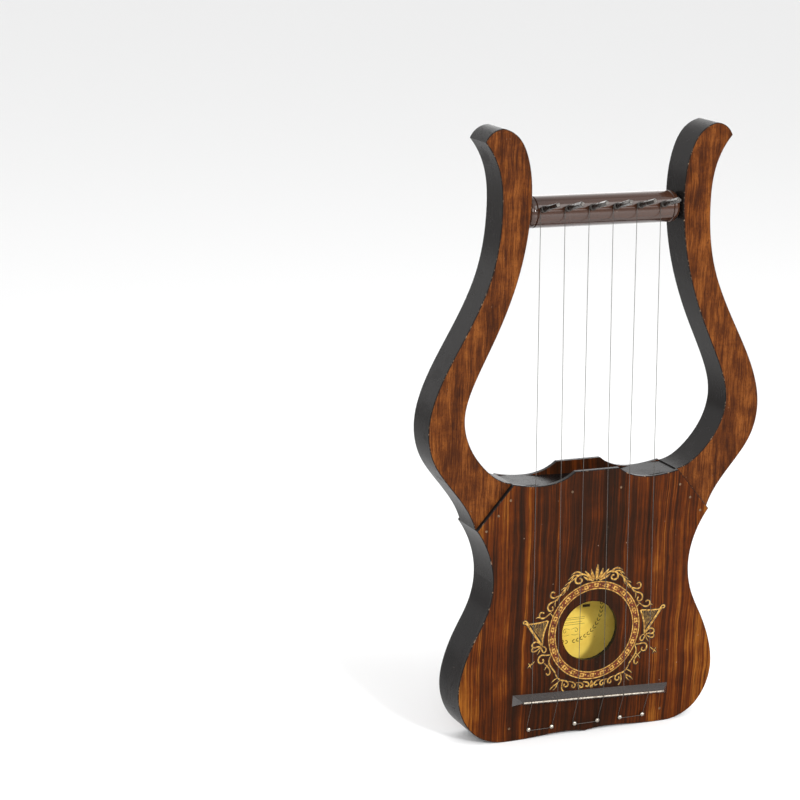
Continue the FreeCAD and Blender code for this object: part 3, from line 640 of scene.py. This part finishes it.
def painted(name: str, strokes: Sequence[Stroke], centre: Vector, level: float, extra: float,
            thickness: float, swell: float = 1.0) -> bmesh.types.BMesh:
    """Mesh of strokes laid on a front-facing surface.

    Args:
        name: name for the working curve.
        strokes: the strokes.
        centre: their origin, on the surface, in metres.
        level: height of the strokes' middle above the surface, in metres.
        extra: width added to each side, in mm.
        thickness: full thickness of the paint, in metres.
        swell: factor on every stroke's own width.

    Returns:
        The mesh, in place.
    """
    curve = bpy.data.curves.new(name, "CURVE")
    curve.dimensions = "3D"
    curve.bevel_depth = MM
    curve.bevel_resolution = 1
    curve.resolution_u = 4
    curve.use_fill_caps = True
    for stroke in strokes:
        spline = curve.splines.new("NURBS")
        spline.points.add(len(stroke.points) - 1)
        for index, (spot, (u, v)) in enumerate(zip(spline.points, stroke.points)):
            spot.co = (u * MM, 0.0, v * MM, 1.0)
            taper = stroke.taper.at(index / (len(stroke.points) - 1))
            spot.radius = swell * stroke.width / 2 * taper + extra
        spline.order_u = 3
        spline.use_endpoint_u = True
    holder = bpy.data.objects.new(name, curve)
    bpy.context.scene.collection.objects.link(holder)
    mesh = bpy.data.meshes.new_from_object(holder.evaluated_get(bpy.context.evaluated_depsgraph_get()))
    bpy.data.objects.remove(holder)
    bpy.data.curves.remove(curve)
    bm = bmesh.new()
    bm.from_mesh(mesh)
    bpy.data.meshes.remove(mesh)
    widest = max(abs(vertex.co.y) for vertex in bm.verts)
    flatten = Matrix.Diagonal((1.0, thickness / (2 * widest), 1.0, 1.0))
    lift = Matrix.Translation(centre + Vector((0, -level, 0)))
    bmesh.ops.transform(bm, matrix=lift @ flatten, verts=bm.verts)
    return bm


def ring(bm: bmesh.types.BMesh, inner: float, outer: float, thickness: float, place: Matrix,
         segments: int = 144) -> None:
    """Add a flat ring, made in the XZ plane and then placed.

    Args:
        bm: the mesh to add to.
        inner: inner radius in metres.
        outer: outer radius in metres.
        thickness: thickness towards -Y.
        place: where the ring's centre goes.
        segments: sides of the circle.
    """
    turn = Matrix.Rotation(QUARTER_TURN, 4, "X")
    circle = bmesh.ops.create_circle(bm, cap_ends=False, radius=inner, segments=segments)["verts"]
    edges = list({edge for vertex in circle for edge in vertex.link_edges})
    grown = bmesh.ops.extrude_edge_only(bm, edges=edges)["geom"]
    rim = [item for item in grown if isinstance(item, bmesh.types.BMVert)]
    faces = [item for item in grown if isinstance(item, bmesh.types.BMFace)]
    bmesh.ops.scale(bm, vec=Vector((outer / inner, outer / inner, 1.0)), verts=rim)
    raised = bmesh.ops.extrude_face_region(bm, geom=faces, use_keep_orig=True)["geom"]
    top = [item for item in raised if isinstance(item, bmesh.types.BMVert)]
    bmesh.ops.translate(bm, vec=Vector((0, 0, thickness)), verts=top)
    bmesh.ops.transform(bm, matrix=place @ turn, verts=circle + rim + top)


def tile(bm: bmesh.types.BMesh, size: tuple[float, float, float], place: Matrix) -> None:
    """Add a small flat block: size across, deep and high, in metres."""
    bmesh.ops.create_cube(bm, size=1.0, matrix=place @ Matrix.Diagonal((*size, 1.0)))


# ---------------------------------------------------------------- painted rose
SCROLL, LEAF, TAIL, EVEN = Taper
ROSE_HALF = tuple(Stroke(*row) for row in (
    # crown of leaves over the ring
    (3.0, LEAF, ((1.5, 47.0), (4.0, 50.0), (5.2, 53.0), (5.6, 56.2))),
    (2.6, LEAF, ((2.5, 46.5), (7.0, 49.5), (9.5, 52.5), (11.8, 55.2))),
    (2.0, LEAF, ((3.5, 45.8), (8.0, 46.8), (11.0, 48.6), (13.0, 50.2))),
    (1.2, SCROLL, ((0.6, 46.6), (3.4, 48.6), (5.4, 47.0), (4.4, 45.0), (2.8, 45.8))),
    # first great scroll
    (1.5, SCROLL, ((5.5, 46.0), (9.0, 51.0), (15.0, 52.8), (20.5, 50.4), (21.2, 46.0), (17.6, 43.9),
                   (14.2, 45.6), (14.6, 48.6), (17.0, 48.8))),
    (1.7, LEAF, ((12.0, 51.4), (17.0, 54.6), (21.5, 55.0), (25.2, 52.4))),
    (1.6, LEAF, ((15.0, 51.0), (20.5, 52.6), (24.6, 51.0), (27.6, 48.2))),
    (1.3, LEAF, ((20.0, 50.0), (23.0, 48.6), (25.0, 46.4))),
    # stem down the shoulder, with leaves
    (1.4, SCROLL, ((23.0, 50.8), (25.6, 46.5), (28.6, 42.0), (32.6, 38.0), (35.4, 34.6), (38.2, 31.0))),
    (1.3, LEAF, ((25.0, 47.0), (28.8, 45.6), (31.2, 43.0))),
    (1.3, LEAF, ((28.0, 42.6), (31.8, 42.0), (34.4, 39.8))),
    (1.3, LEAF, ((26.6, 45.0), (26.8, 41.6), (28.8, 38.8))),
    (1.2, LEAF, ((30.0, 40.0), (30.4, 37.2), (32.6, 35.0))),
    (1.3, SCROLL, ((33.0, 36.0), (36.6, 35.0), (41.0, 33.4), (44.0, 34.8), (44.0, 38.4), (41.4, 39.6),
                   (40.0, 38.0))),
    (1.3, SCROLL, ((36.0, 33.4), (39.6, 30.6), (43.6, 29.8), (46.6, 27.0), (45.8, 22.8), (42.4, 21.8),
                   (40.6, 24.2), (42.2, 26.0))),
    (1.2, LEAF, ((39.0, 30.8), (40.0, 28.0), (39.0, 25.4))),
    (1.3, SCROLL, ((42.4, 21.2), (46.0, 18.2), (50.0, 15.9), (53.8, 17.2), (54.2, 20.6), (51.6, 22.4),
                   (49.6, 20.8))),
    (1.1, TAIL, ((53.6, 17.4), (56.2, 18.4), (57.0, 16.8))),
    (1.1, LEAF, ((43.8, 20.0), (41.6, 18.6), (40.8, 16.0))),
    # below the harp
    (1.4, SCROLL, ((41.4, -17.6), (45.4, -17.8), (50.4, -16.8), (53.6, -19.6), (52.8, -23.8),
                   (49.4, -24.8), (47.4, -22.6), (49.0, -20.8))),
    (1.3, SCROLL, ((41.0, -18.0), (43.4, -22.4), (42.0, -27.0), (38.6, -31.4), (36.0, -35.0))),
    (1.3, SCROLL, ((47.6, -24.6), (44.4, -27.4), (41.4, -31.0), (41.2, -35.0), (43.8, -36.4),
                   (45.0, -34.0))),
    (1.2, LEAF, ((42.4, -26.0), (45.8, -28.4), (46.8, -31.2))),
    (1.4, SCROLL, ((37.0, -33.6), (35.0, -38.6), (30.6, -42.6), (25.6, -43.0), (22.4, -46.2),
                   (24.4, -49.4), (27.8, -48.0), (26.6, -45.8))),
    (1.3, LEAF, ((34.0, -40.0), (37.8, -41.0), (39.8, -44.2))),
    (1.4, LEAF, ((31.6, -42.4), (34.6, -45.6), (38.8, -47.2), (41.0, -50.2))),
    (1.3, LEAF, ((33.4, -44.8), (34.4, -48.6), (38.0, -50.8))),
    (1.2, SCROLL, ((28.6, -43.4), (29.6, -47.8), (28.6, -52.0), (26.4, -53.6))),
    (1.3, SCROLL, ((22.6, -44.2), (18.6, -45.2), (15.4, -48.2), (17.0, -51.0), (19.8, -49.8),
                   (18.8, -47.6))),
    (1.3, SCROLL, ((15.6, -46.6), (11.4, -46.4), (8.0, -48.6), (8.8, -51.6), (11.6, -51.4),
                   (11.4, -49.0))),
    (1.2, LEAF, ((13.0, -46.8), (13.4, -50.0), (11.8, -53.0))),
    (1.4, SCROLL, ((8.6, -46.4), (4.8, -46.6), (2.2, -49.4), (3.8, -51.8), (5.8, -50.2))),
    (1.6, LEAF, ((0.6, -47.0), (1.6, -50.0), (0.8, -53.0))),
))
HARP_HALF = tuple(Stroke(*row) for row in (
    (1.8, EVEN, ((66.0, 13.6), (58.2, 2.6), (50.4, -8.4))),
    (1.1, EVEN, ((46.0, 13.6), (51.0, 12.9), (57.0, 12.3), (64.4, 12.4))),
    (1.3, SCROLL, ((64.0, 12.6), (66.2, 16.0), (69.4, 15.4), (68.4, 12.6), (66.0, 13.4))),
    (1.3, EVEN, ((45.2, 13.6), (47.4, 8.0), (49.6, 1.0), (50.2, -8.4))),
    (1.3, SCROLL, ((51.0, -8.6), (53.4, -4.6), (58.0, -4.2), (60.4, -7.4), (57.6, -10.0), (54.4, -8.4),
                   (51.6, -9.4))),
    (1.2, SCROLL, ((51.4, -9.4), (55.4, -12.8), (59.6, -13.2), (60.2, -9.8), (57.4, -9.2))),
    (1.2, SCROLL, ((50.6, -9.0), (47.4, -9.6), (45.6, -12.8), (47.6, -15.4), (50.0, -13.6),
                   (50.8, -10.0))),
    (1.2, LEAF, ((51.2, -9.6), (52.2, -13.6), (54.8, -16.4))),
    (1.3, LEAF, ((56.6, -21.6), (58.8, -24.0), (61.6, -25.4), (63.6, -27.6))),
    (1.2, LEAF, ((62.6, -22.8), (61.0, -25.4), (59.4, -28.4))),
))
HARP_FIELD: tuple[Point, ...] = ((46.6, 13.2), (64.2, 12.2), (50.6, -7.2), (50.0, 1.0), (48.2, 8.0))


@dataclass
class PaintedRose:
    """Transfer of gold scrolls, two harps and a tiled ring, round the sound hole."""

    offset: float = 4.3
    height: float = 92.8
    block: Point = (4.4, 3.4)
    diamond: float = 1.1
    diamond_spread: Point = (1.5, 0.6)
    heart: float = 1.5
    outline_width: float = 0.85
    ring_inner: float = 37.6
    ring_outer: float = 44.6
    line_width: float = 0.9
    blocks: int = 26
    film: float = 0.04 * MM
    harp_strings: int = 9
    harp_string_width: float = 0.32
    swell: float = 1.25

    def centre(self) -> Vector:
        """Centre of the ring on the soundboard's face."""
        low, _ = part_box("soundboard")
        return Vector((self.offset * MM, low[1], self.height * MM))

    def strokes(self) -> list[Stroke]:
        """Every gold stroke, both sides."""
        half = list(ROSE_HALF + HARP_HALF)
        top = Stroke(3.2, Taper.LEAF, ((0.0, 45.5), (0.0, 51.0), (0.2, 56.0), (0.4, 60.2)))
        bottom = Stroke(2.2, Taper.LEAF, ((0.0, -45.8), (0.0, -49.0), (0.0, -53.6)))
        return half + [stroke.mirrored() for stroke in half] + [top, bottom]

    def string_strokes(self) -> list[Stroke]:
        """Fine gold strings of the two small harps."""
        made = []
        for index in range(self.harp_strings):
            share = (index + 1) / (self.harp_strings + 1)
            top = (46.4 + 17.0 * share, 12.9 - 0.6 * share)
            bottom = (49.6 + 1.0 * share + 7.0 * share * share, 1.5 - 9.0 * (1 - share) + 3.4 * share * share)
            middle = ((top[0] + bottom[0]) / 2, (top[1] + bottom[1]) / 2)
            made.append(Stroke(self.harp_string_width, Taper.EVEN, (top, middle, bottom)))
        return made + [stroke.mirrored() for stroke in made]

    def build_ring(self, gold: Material, red: Material, dark: Material) -> None:
        """Make the ring: dark ground, red band, gold edge lines, gold blocks with red hearts.

        Args:
            gold: finish of the lines and blocks.
            red: finish of the band and hearts.
            dark: finish of the ground.
        """
        centre = self.centre()
        film = self.film
        inner, outer, width = self.ring_inner * MM, self.ring_outer * MM, self.line_width * MM
        ground = bmesh.new()
        ring(ground, inner - 0.4 * MM, outer + 0.5 * MM, film, Matrix.Translation(centre))
        piece("rose_ring_ground", ground, dark, "frame", smooth=False)
        band = bmesh.new()
        ring(band, inner + width, outer - width, film, Matrix.Translation(centre + Vector((0, -film, 0))))
        piece("rose_ring_band", band, red, "frame", smooth=False)
        lines = bmesh.new()
        above = Matrix.Translation(centre + Vector((0, -2 * film, 0)))
        ring(lines, inner, inner + width, film, above)
        ring(lines, outer - width, outer, film, above)
        piece("rose_ring_lines", lines, gold, "frame", smooth=False)
        middle = (inner + outer) / 2
        tiles, hearts = bmesh.new(), bmesh.new()
        corner_up = Matrix.Rotation(math.radians(45), 4, "Y")
        lifted = Matrix.Translation(Vector((0, -film, 0)))
        for index in range(self.blocks):
            turn = Matrix.Rotation(2 * math.pi * index / self.blocks, 4, "Y")
            gap = Matrix.Rotation(2 * math.pi * (index + 0.5) / self.blocks, 4, "Y")
            radial = Matrix.Translation(Vector((0, 0, middle)))
            tile(tiles, (self.block[0] * MM, film, self.block[1] * MM), above @ turn @ radial)
            for side in (-1, 1):
                aside, along = (side * part * MM for part in self.diamond_spread)
                beside = Matrix.Translation(Vector((aside, 0, middle - along)))
                size = (self.diamond * MM, film, self.diamond * MM)
                tile(tiles, size, above @ gap @ beside @ corner_up)
            size = (self.heart * MM, film, self.heart * MM)
            tile(hearts, size, above @ turn @ radial @ lifted @ corner_up)
        piece("rose_ring_blocks", tiles, gold, "frame", smooth=False)
        piece("rose_ring_hearts", hearts, red, "frame", smooth=False)

    def build_scrolls(self, gold: Material, dark: Material) -> None:
        """Make the gold strokes, each with a dark edge under it, and the harps' dark fields.

        Args:
            gold: finish of the strokes.
            dark: finish of what lies under them.
        """
        centre = self.centre()
        under = painted("rose_outline_work", self.strokes(), centre, 0.02 * MM, self.outline_width,
                        0.03 * MM, self.swell)
        for side in (-1, 1):
            corners = [centre + Vector((side * u * MM, -0.03 * MM, v * MM)) for u, v in HARP_FIELD]
            face = under.faces.new([under.verts.new(corner) for corner in corners])
            raised = bmesh.ops.extrude_face_region(under, geom=[face], use_keep_orig=True)["geom"]
            top = [item for item in raised if isinstance(item, bmesh.types.BMVert)]
            bmesh.ops.translate(under, vec=Vector((0, -0.02 * MM, 0)), verts=top)
        piece("rose_outline", under, dark, "frame", smooth=False)
        over = painted("rose_scroll_work", self.strokes(), centre, 0.07 * MM, 0.0, 0.05 * MM, self.swell)
        piece("rose_scrolls", over, gold, "frame")
        fine = painted("harp_string_work", self.string_strokes(), centre, 0.07 * MM, 0.0, 0.02 * MM)
        piece("rose_harp_strings", fine, gold, "frame")

    def build(self) -> None:
        """Make the whole transfer."""
        gold, red, dark = GOLD.build(), RED.build(), SHADOW.build()
        self.build_ring(gold, red, dark)
        self.build_scrolls(gold, dark)


# ---------------------------------------------------------------- label print
@dataclass
class LabelPrint:
    """Plain printed wreath, rules and flourishes on the paper inside the sound box."""

    wreath_radius: float = 30.0
    wreath_height: float = 101.0
    leaf_pairs: int = 20
    leaf_from: float = -86
    leaf_step: float = 7.4
    bar: Point = (7.2, 2.6)
    bar_place: Point = (14.6, 2.0)
    ink_depth: float = 0.02 * MM

    def leaves(self) -> list[Stroke]:
        """Pairs of leaves along both sides of the wreath, pointing up."""
        made = []
        for side in (-1, 1):
            for index in range(self.leaf_pairs):
                angle = math.radians(self.leaf_from + index * self.leaf_step)
                base = (math.cos(angle), math.sin(angle))
                along = (-math.sin(angle), math.cos(angle))
                for lean in (-1.5, 1.5):
                    foot = (base[0] * self.wreath_radius, base[1] * self.wreath_radius)
                    middle, tip = (tuple(foot[axis] + along[axis] * reach + base[axis] * lean
                                         for axis in (0, 1)) for reach in (1.2, 3.0))
                    points = tuple((side * u, v) for u, v in (foot, middle, tip))
                    made.append(Stroke(1.5, Taper.LEAF, points))
        return made

    def lines(self) -> list[Stroke]:
        """Thin rules and small flourishes inside the wreath."""
        made = []
        for height, half in ((-8.0, 13.5), (-9.6, 13.5), (-12.2, 11.0), (-14.2, 13.5)):
            made.append(Stroke(0.35, Taper.EVEN, ((-half, height), (0.0, height), (half, height))))
        for side in (-1, 1):
            curl = ((0.6, -19.0), (4.0, -17.0), (7.4, -18.6), (6.6, -21.4), (4.2, -21.0), (4.8, -19.2))
            made.append(Stroke(0.5, Taper.SCROLL, tuple((side * u, v) for u, v in curl)))
            low = ((1.0, -23.4), (4.6, -24.6), (8.0, -23.2), (10.0, -24.8))
            made.append(Stroke(0.4, Taper.TAIL, tuple((side * u, v) for u, v in low)))
        return made

    def build(self) -> None:
        """Make the print."""
        low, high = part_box("paper_label")
        centre = Vector(((low[0] + high[0]) / 2, low[1], self.wreath_height * MM))
        strokes = self.leaves() + self.lines()
        printed = painted("label_work", strokes, centre, self.ink_depth, 0.0, self.ink_depth)
        aside, above = self.bar_place
        for side in (-1, 1):
            spot = centre + Vector((side * aside * MM, -self.ink_depth, above * MM))
            size = (self.bar[0] * MM, self.ink_depth, self.bar[1] * MM)
            tile(printed, size, Matrix.Translation(spot))
        piece("label_print", printed, INK.build(), "frame", smooth=False)


# ---------------------------------------------------------------- wound wire ends
@dataclass
class WireWinding:
    """Helix of wire on one tuning pin, with its end tucked into the pin's eye."""

    number: int
    wire: float = 0.25 * MM
    turns: float = 5.5
    pitch: float = 0.51 * MM
    steps_per_turn: int = 28
    sides: int = 8
    bend_steps: int = 5
    tuck: float = 0.8 * MM
    start_above_bar: float = 2.17 * MM
    eye_above_bar: float = 6.2 * MM
    reach: float = 2.58 * MM

    def matrix(self) -> Matrix:
        """From the pin's own axes, with the crossbar's axis as origin, to the lyre's."""
        joints = frame["record"]["behaviour"]["joints"]
        joint = next(item for item in joints if item["child"] == f"pin_{self.number}")
        axis = Vector(joint["axis"])
        across = Vector((1, 0, 0))
        up = axis.cross(across)
        turned = Matrix((across, up, axis)).transposed().to_4x4()
        return Matrix.Translation(Vector(joint["pos_m"])) @ turned

    def build(self, material: Material, bar_radius: float) -> None:
        """Make the winding in place of the plain CAD coil.

        Args:
            material: the wire's finish.
            bar_radius: the crossbar's radius, in metres.
        """
        start, eye, reach = bar_radius + self.start_above_bar, bar_radius + self.eye_above_bar, self.reach
        bm = bmesh.new()
        section = bmesh.ops.create_circle(bm, cap_ends=True, radius=self.wire, segments=self.sides)["verts"]
        stand = Matrix.Rotation(QUARTER_TURN, 4, "X")
        bmesh.ops.transform(bm, matrix=Matrix.Translation(Vector((-reach, 0, start))) @ stand, verts=section)
        steps = int(self.turns * self.steps_per_turn)
        geometry = list(bm.verts) + list(bm.edges) + list(bm.faces)
        climb = (0, 0, self.turns * self.pitch / steps)
        last = bmesh.ops.spin(bm, geom=geometry, cent=(0, 0, 0), axis=(0, 0, -1), dvec=climb,
                              angle=self.turns * 2 * math.pi, steps=steps, use_merge=False,
                              use_duplicate=False)["geom_last"]
        end = start + self.turns * self.pitch
        rise = max(eye - end, 4 * self.wire)
        centre = Vector((reach, 0, end))
        hub = centre + Vector((0, 0, self.wire * 2))
        grown = bmesh.ops.spin(bm, geom=last, cent=hub, axis=(-1, 0, 0), dvec=(0, 0, 0),
                               angle=QUARTER_TURN, steps=self.bend_steps)["geom_last"]
        tops = [item for item in grown if isinstance(item, bmesh.types.BMFace)]
        raised = bmesh.ops.extrude_face_region(bm, geom=tops)["geom"]
        ends = [item for item in raised if isinstance(item, bmesh.types.BMVert)]
        bmesh.ops.translate(bm, vec=Vector((0, 0, rise - 4 * self.wire)), verts=ends)
        tip = [item for item in raised if isinstance(item, bmesh.types.BMFace)]
        around = Vector((reach - 2.0 * self.wire, 0, eye - 2 * self.wire))
        tucked = bmesh.ops.spin(bm, geom=tip, cent=around, axis=(0, -1, 0), dvec=(0, 0, 0),
                                angle=QUARTER_TURN, steps=self.bend_steps)["geom_last"]
        ends = [item for item in tucked if isinstance(item, bmesh.types.BMVert)]
        bmesh.ops.translate(bm, vec=Vector((-self.tuck, 0, 0)), verts=ends)
        bmesh.ops.transform(bm, matrix=self.matrix(), verts=bm.verts)
        made = piece(f"winding_{self.number}", bm, material, f"pin_{self.number}")
        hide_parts(f"string_coil_{self.number}")


# ---------------------------------------------------------------- the whole lyre
@dataclass
class Lyre:
    """Finishes of every CAD node, and the pieces that only Blender makes."""

    pins: int = 6

    def dress_frame(self) -> None:
        """Finish the wooden frame, boards and braces."""
        arm, board, black, raw = ARM_WOOD.build(), BOARD_WOOD.build(), BLACK.build(), RawWood().build()
        for side in ("left", "right"):
            dress(f"{side}_arm", arm)
            dress(f"{side}_rib", black)
        for node in ("top_rail", "bottom_block"):
            dress(node, black)
        for node in ("soundboard", "back_board"):
            dress(node, board)
        for node in ("front_brace_upper", "front_brace_lower", "back_brace_upper", "back_brace_lower"):
            dress(node, raw)

    def dress_fittings(self) -> None:
        """Finish the crossbar, bridge, pins, brads, label and strings."""
        nickel, brad = NICKEL.build(), BRAD_STEEL.build()
        wire, steel = STRING_STEEL.build(), PIN_STEEL.build()
        dress("crossbar", BAR.build())
        dress("bridge", BRIDGE.build())
        dress("saddle_rod", nickel)
        dress("hitch_pins", nickel)
        dress("front_brads", brad)
        dress("back_brads", brad)
        dress("paper_label", Paper().build())
        for pair in range(self.pins // 2):
            dress(f"string_pair_{pair + 1}", wire)
        bar_low, bar_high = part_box("crossbar")
        bar_radius = (bar_high[2] - bar_low[2]) / 2
        for number in range(1, self.pins + 1):
            dress(f"tuning_pin_{number}", steel)
            dress(f"string_coil_{number}", wire)
            WireWinding(number).build(wire, bar_radius)

    def build(self) -> None:
        """Dress the CAD nodes and add the painted and printed work."""
        self.dress_frame()
        self.dress_fittings()
        PaintedRose().build()
        LabelPrint().build()


# ---------------------------------------------------------------- studio
@dataclass
class Camera:
    """The camera, in the lyre's own frame."""

    place: tuple[float, float, float] = (-0.9796, -1.7820, 0.7941)
    right: tuple[float, float, float] = (0.9154, -0.4015, 0.0297)
    down: tuple[float, float, float] = (-0.0703, -0.2322, -0.9701)
    forward: tuple[float, float, float] = (0.3964, 0.8860, -0.2408)
    lens: float = 110.55

    def build(self) -> None:
        """Make it and use it."""
        data = bpy.data.cameras.new("camera")
        data.lens = self.lens
        data.sensor_width = 36.0
        data.clip_start, data.clip_end = 0.05, 50.0
        camera = bpy.data.objects.new("camera", data)
        columns = Matrix((Vector(self.right), -Vector(self.down), -Vector(self.forward))).transposed()
        turn = columns.to_quaternion().to_matrix().to_4x4()
        camera.matrix_world = Matrix.Translation(Vector(self.place)) @ turn
        bpy.context.scene.collection.objects.link(camera)
        bpy.context.scene.camera = camera


@dataclass(frozen=True)
class Softbox:
    """A rectangular studio light, aimed at the lyre."""

    name: str
    azimuth: float
    elevation: float
    distance: float
    width: float
    height: float
    power: float

    def build(self, target: Vector) -> None:
        """Make the light. Azimuth 0 is in front of the soundboard, and positive is to the right.

        Args:
            target: the point it faces.
        """
        turn, rise = math.radians(self.azimuth), math.radians(self.elevation)
        out = Vector((math.sin(turn) * math.cos(rise), -math.cos(turn) * math.cos(rise), math.sin(rise)))
        data = bpy.data.lights.new(self.name, "AREA")
        data.shape = "RECTANGLE"
        data.size, data.size_y = self.width, self.height
        data.energy = self.power
        lamp = bpy.data.objects.new(self.name, data)
        lamp.location = target + out * self.distance
        lamp.rotation_euler = out.to_track_quat("Z", "Y").to_euler()
        bpy.context.scene.collection.objects.link(lamp)


@dataclass
class Studio:
    """Pale floor, soft lights and a white surround, brighter behind and above."""

    floor_size: float = 30.0
    front: float = 0.40
    behind: float = 1.8
    above: float = 0.30

    def build_floor(self) -> None:
        """Make the floor."""
        bm = bmesh.new()
        bmesh.ops.create_grid(bm, x_segments=1, y_segments=1, size=self.floor_size / 2)
        mesh = bpy.data.meshes.new("floor")
        bm.to_mesh(mesh)
        bm.free()
        material, _, shader = start_material("pale_floor")
        shader.inputs["Base Color"].default_value = (0.86, 0.86, 0.86, 1.0)
        shader.inputs["Roughness"].default_value = 0.9
        mesh.materials.append(material)
        floor = bpy.data.objects.new("floor", mesh)
        bpy.context.scene.collection.objects.link(floor)

    def build_world(self) -> None:
        """Make the even surround."""
        world = bpy.data.worlds.new("surround")
        world.use_nodes = True
        graph = Graph(world.node_tree)
        direction = graph.add("SeparateXYZ", {0: graph.add("TexCoord").outputs["Generated"]})
        low = graph.step(direction.outputs[2], 0.35, 0.8, self.behind, self.behind / 3)
        rear = graph.math("MULTIPLY", graph.step(direction.outputs[1], -0.1, 0.7), low)
        back = graph.math("ADD", rear, self.front)
        top = graph.step(direction.outputs[2], 0.3, 0.95, 0.0, self.above)
        background = world.node_tree.nodes["Background"]
        background.inputs["Color"].default_value = (1.0, 1.0, 1.0, 1.0)
        graph.feed(background.inputs["Strength"], graph.math("ADD", back, top))
        bpy.context.scene.world = world

    def build(self) -> None:
        """Make floor, surround, lights and camera."""
        self.build_floor()
        self.build_world()
        low, high = CAD_BOX
        target = (Vector(low) + Vector(high)) / 2
        lights = (
            Softbox("key", 9.0, 22.0, 2.2, 0.30, 0.30, 34.0),
            Softbox("overhead", 0.0, 66.0, 1.9, 2.4, 1.5, 7.0),
            Softbox("left_fill", -38.0, 24.0, 3.0, 1.8, 1.2, 34.0),
            Softbox("right_fill", 30.0, 31.0, 3.0, 2.2, 2.2, 48.0),
        )
        for light in lights:
            light.build(target)
        bpy.context.scene.view_settings.view_transform = "Standard"
        Camera().build()


def main() -> None:
    """Build the lyre and the studio."""
    logging.basicConfig(level=logging.INFO, format="%(name)s %(message)s")
    Lyre().build()
    Studio().build()


if __name__ == "__main__":
    main()
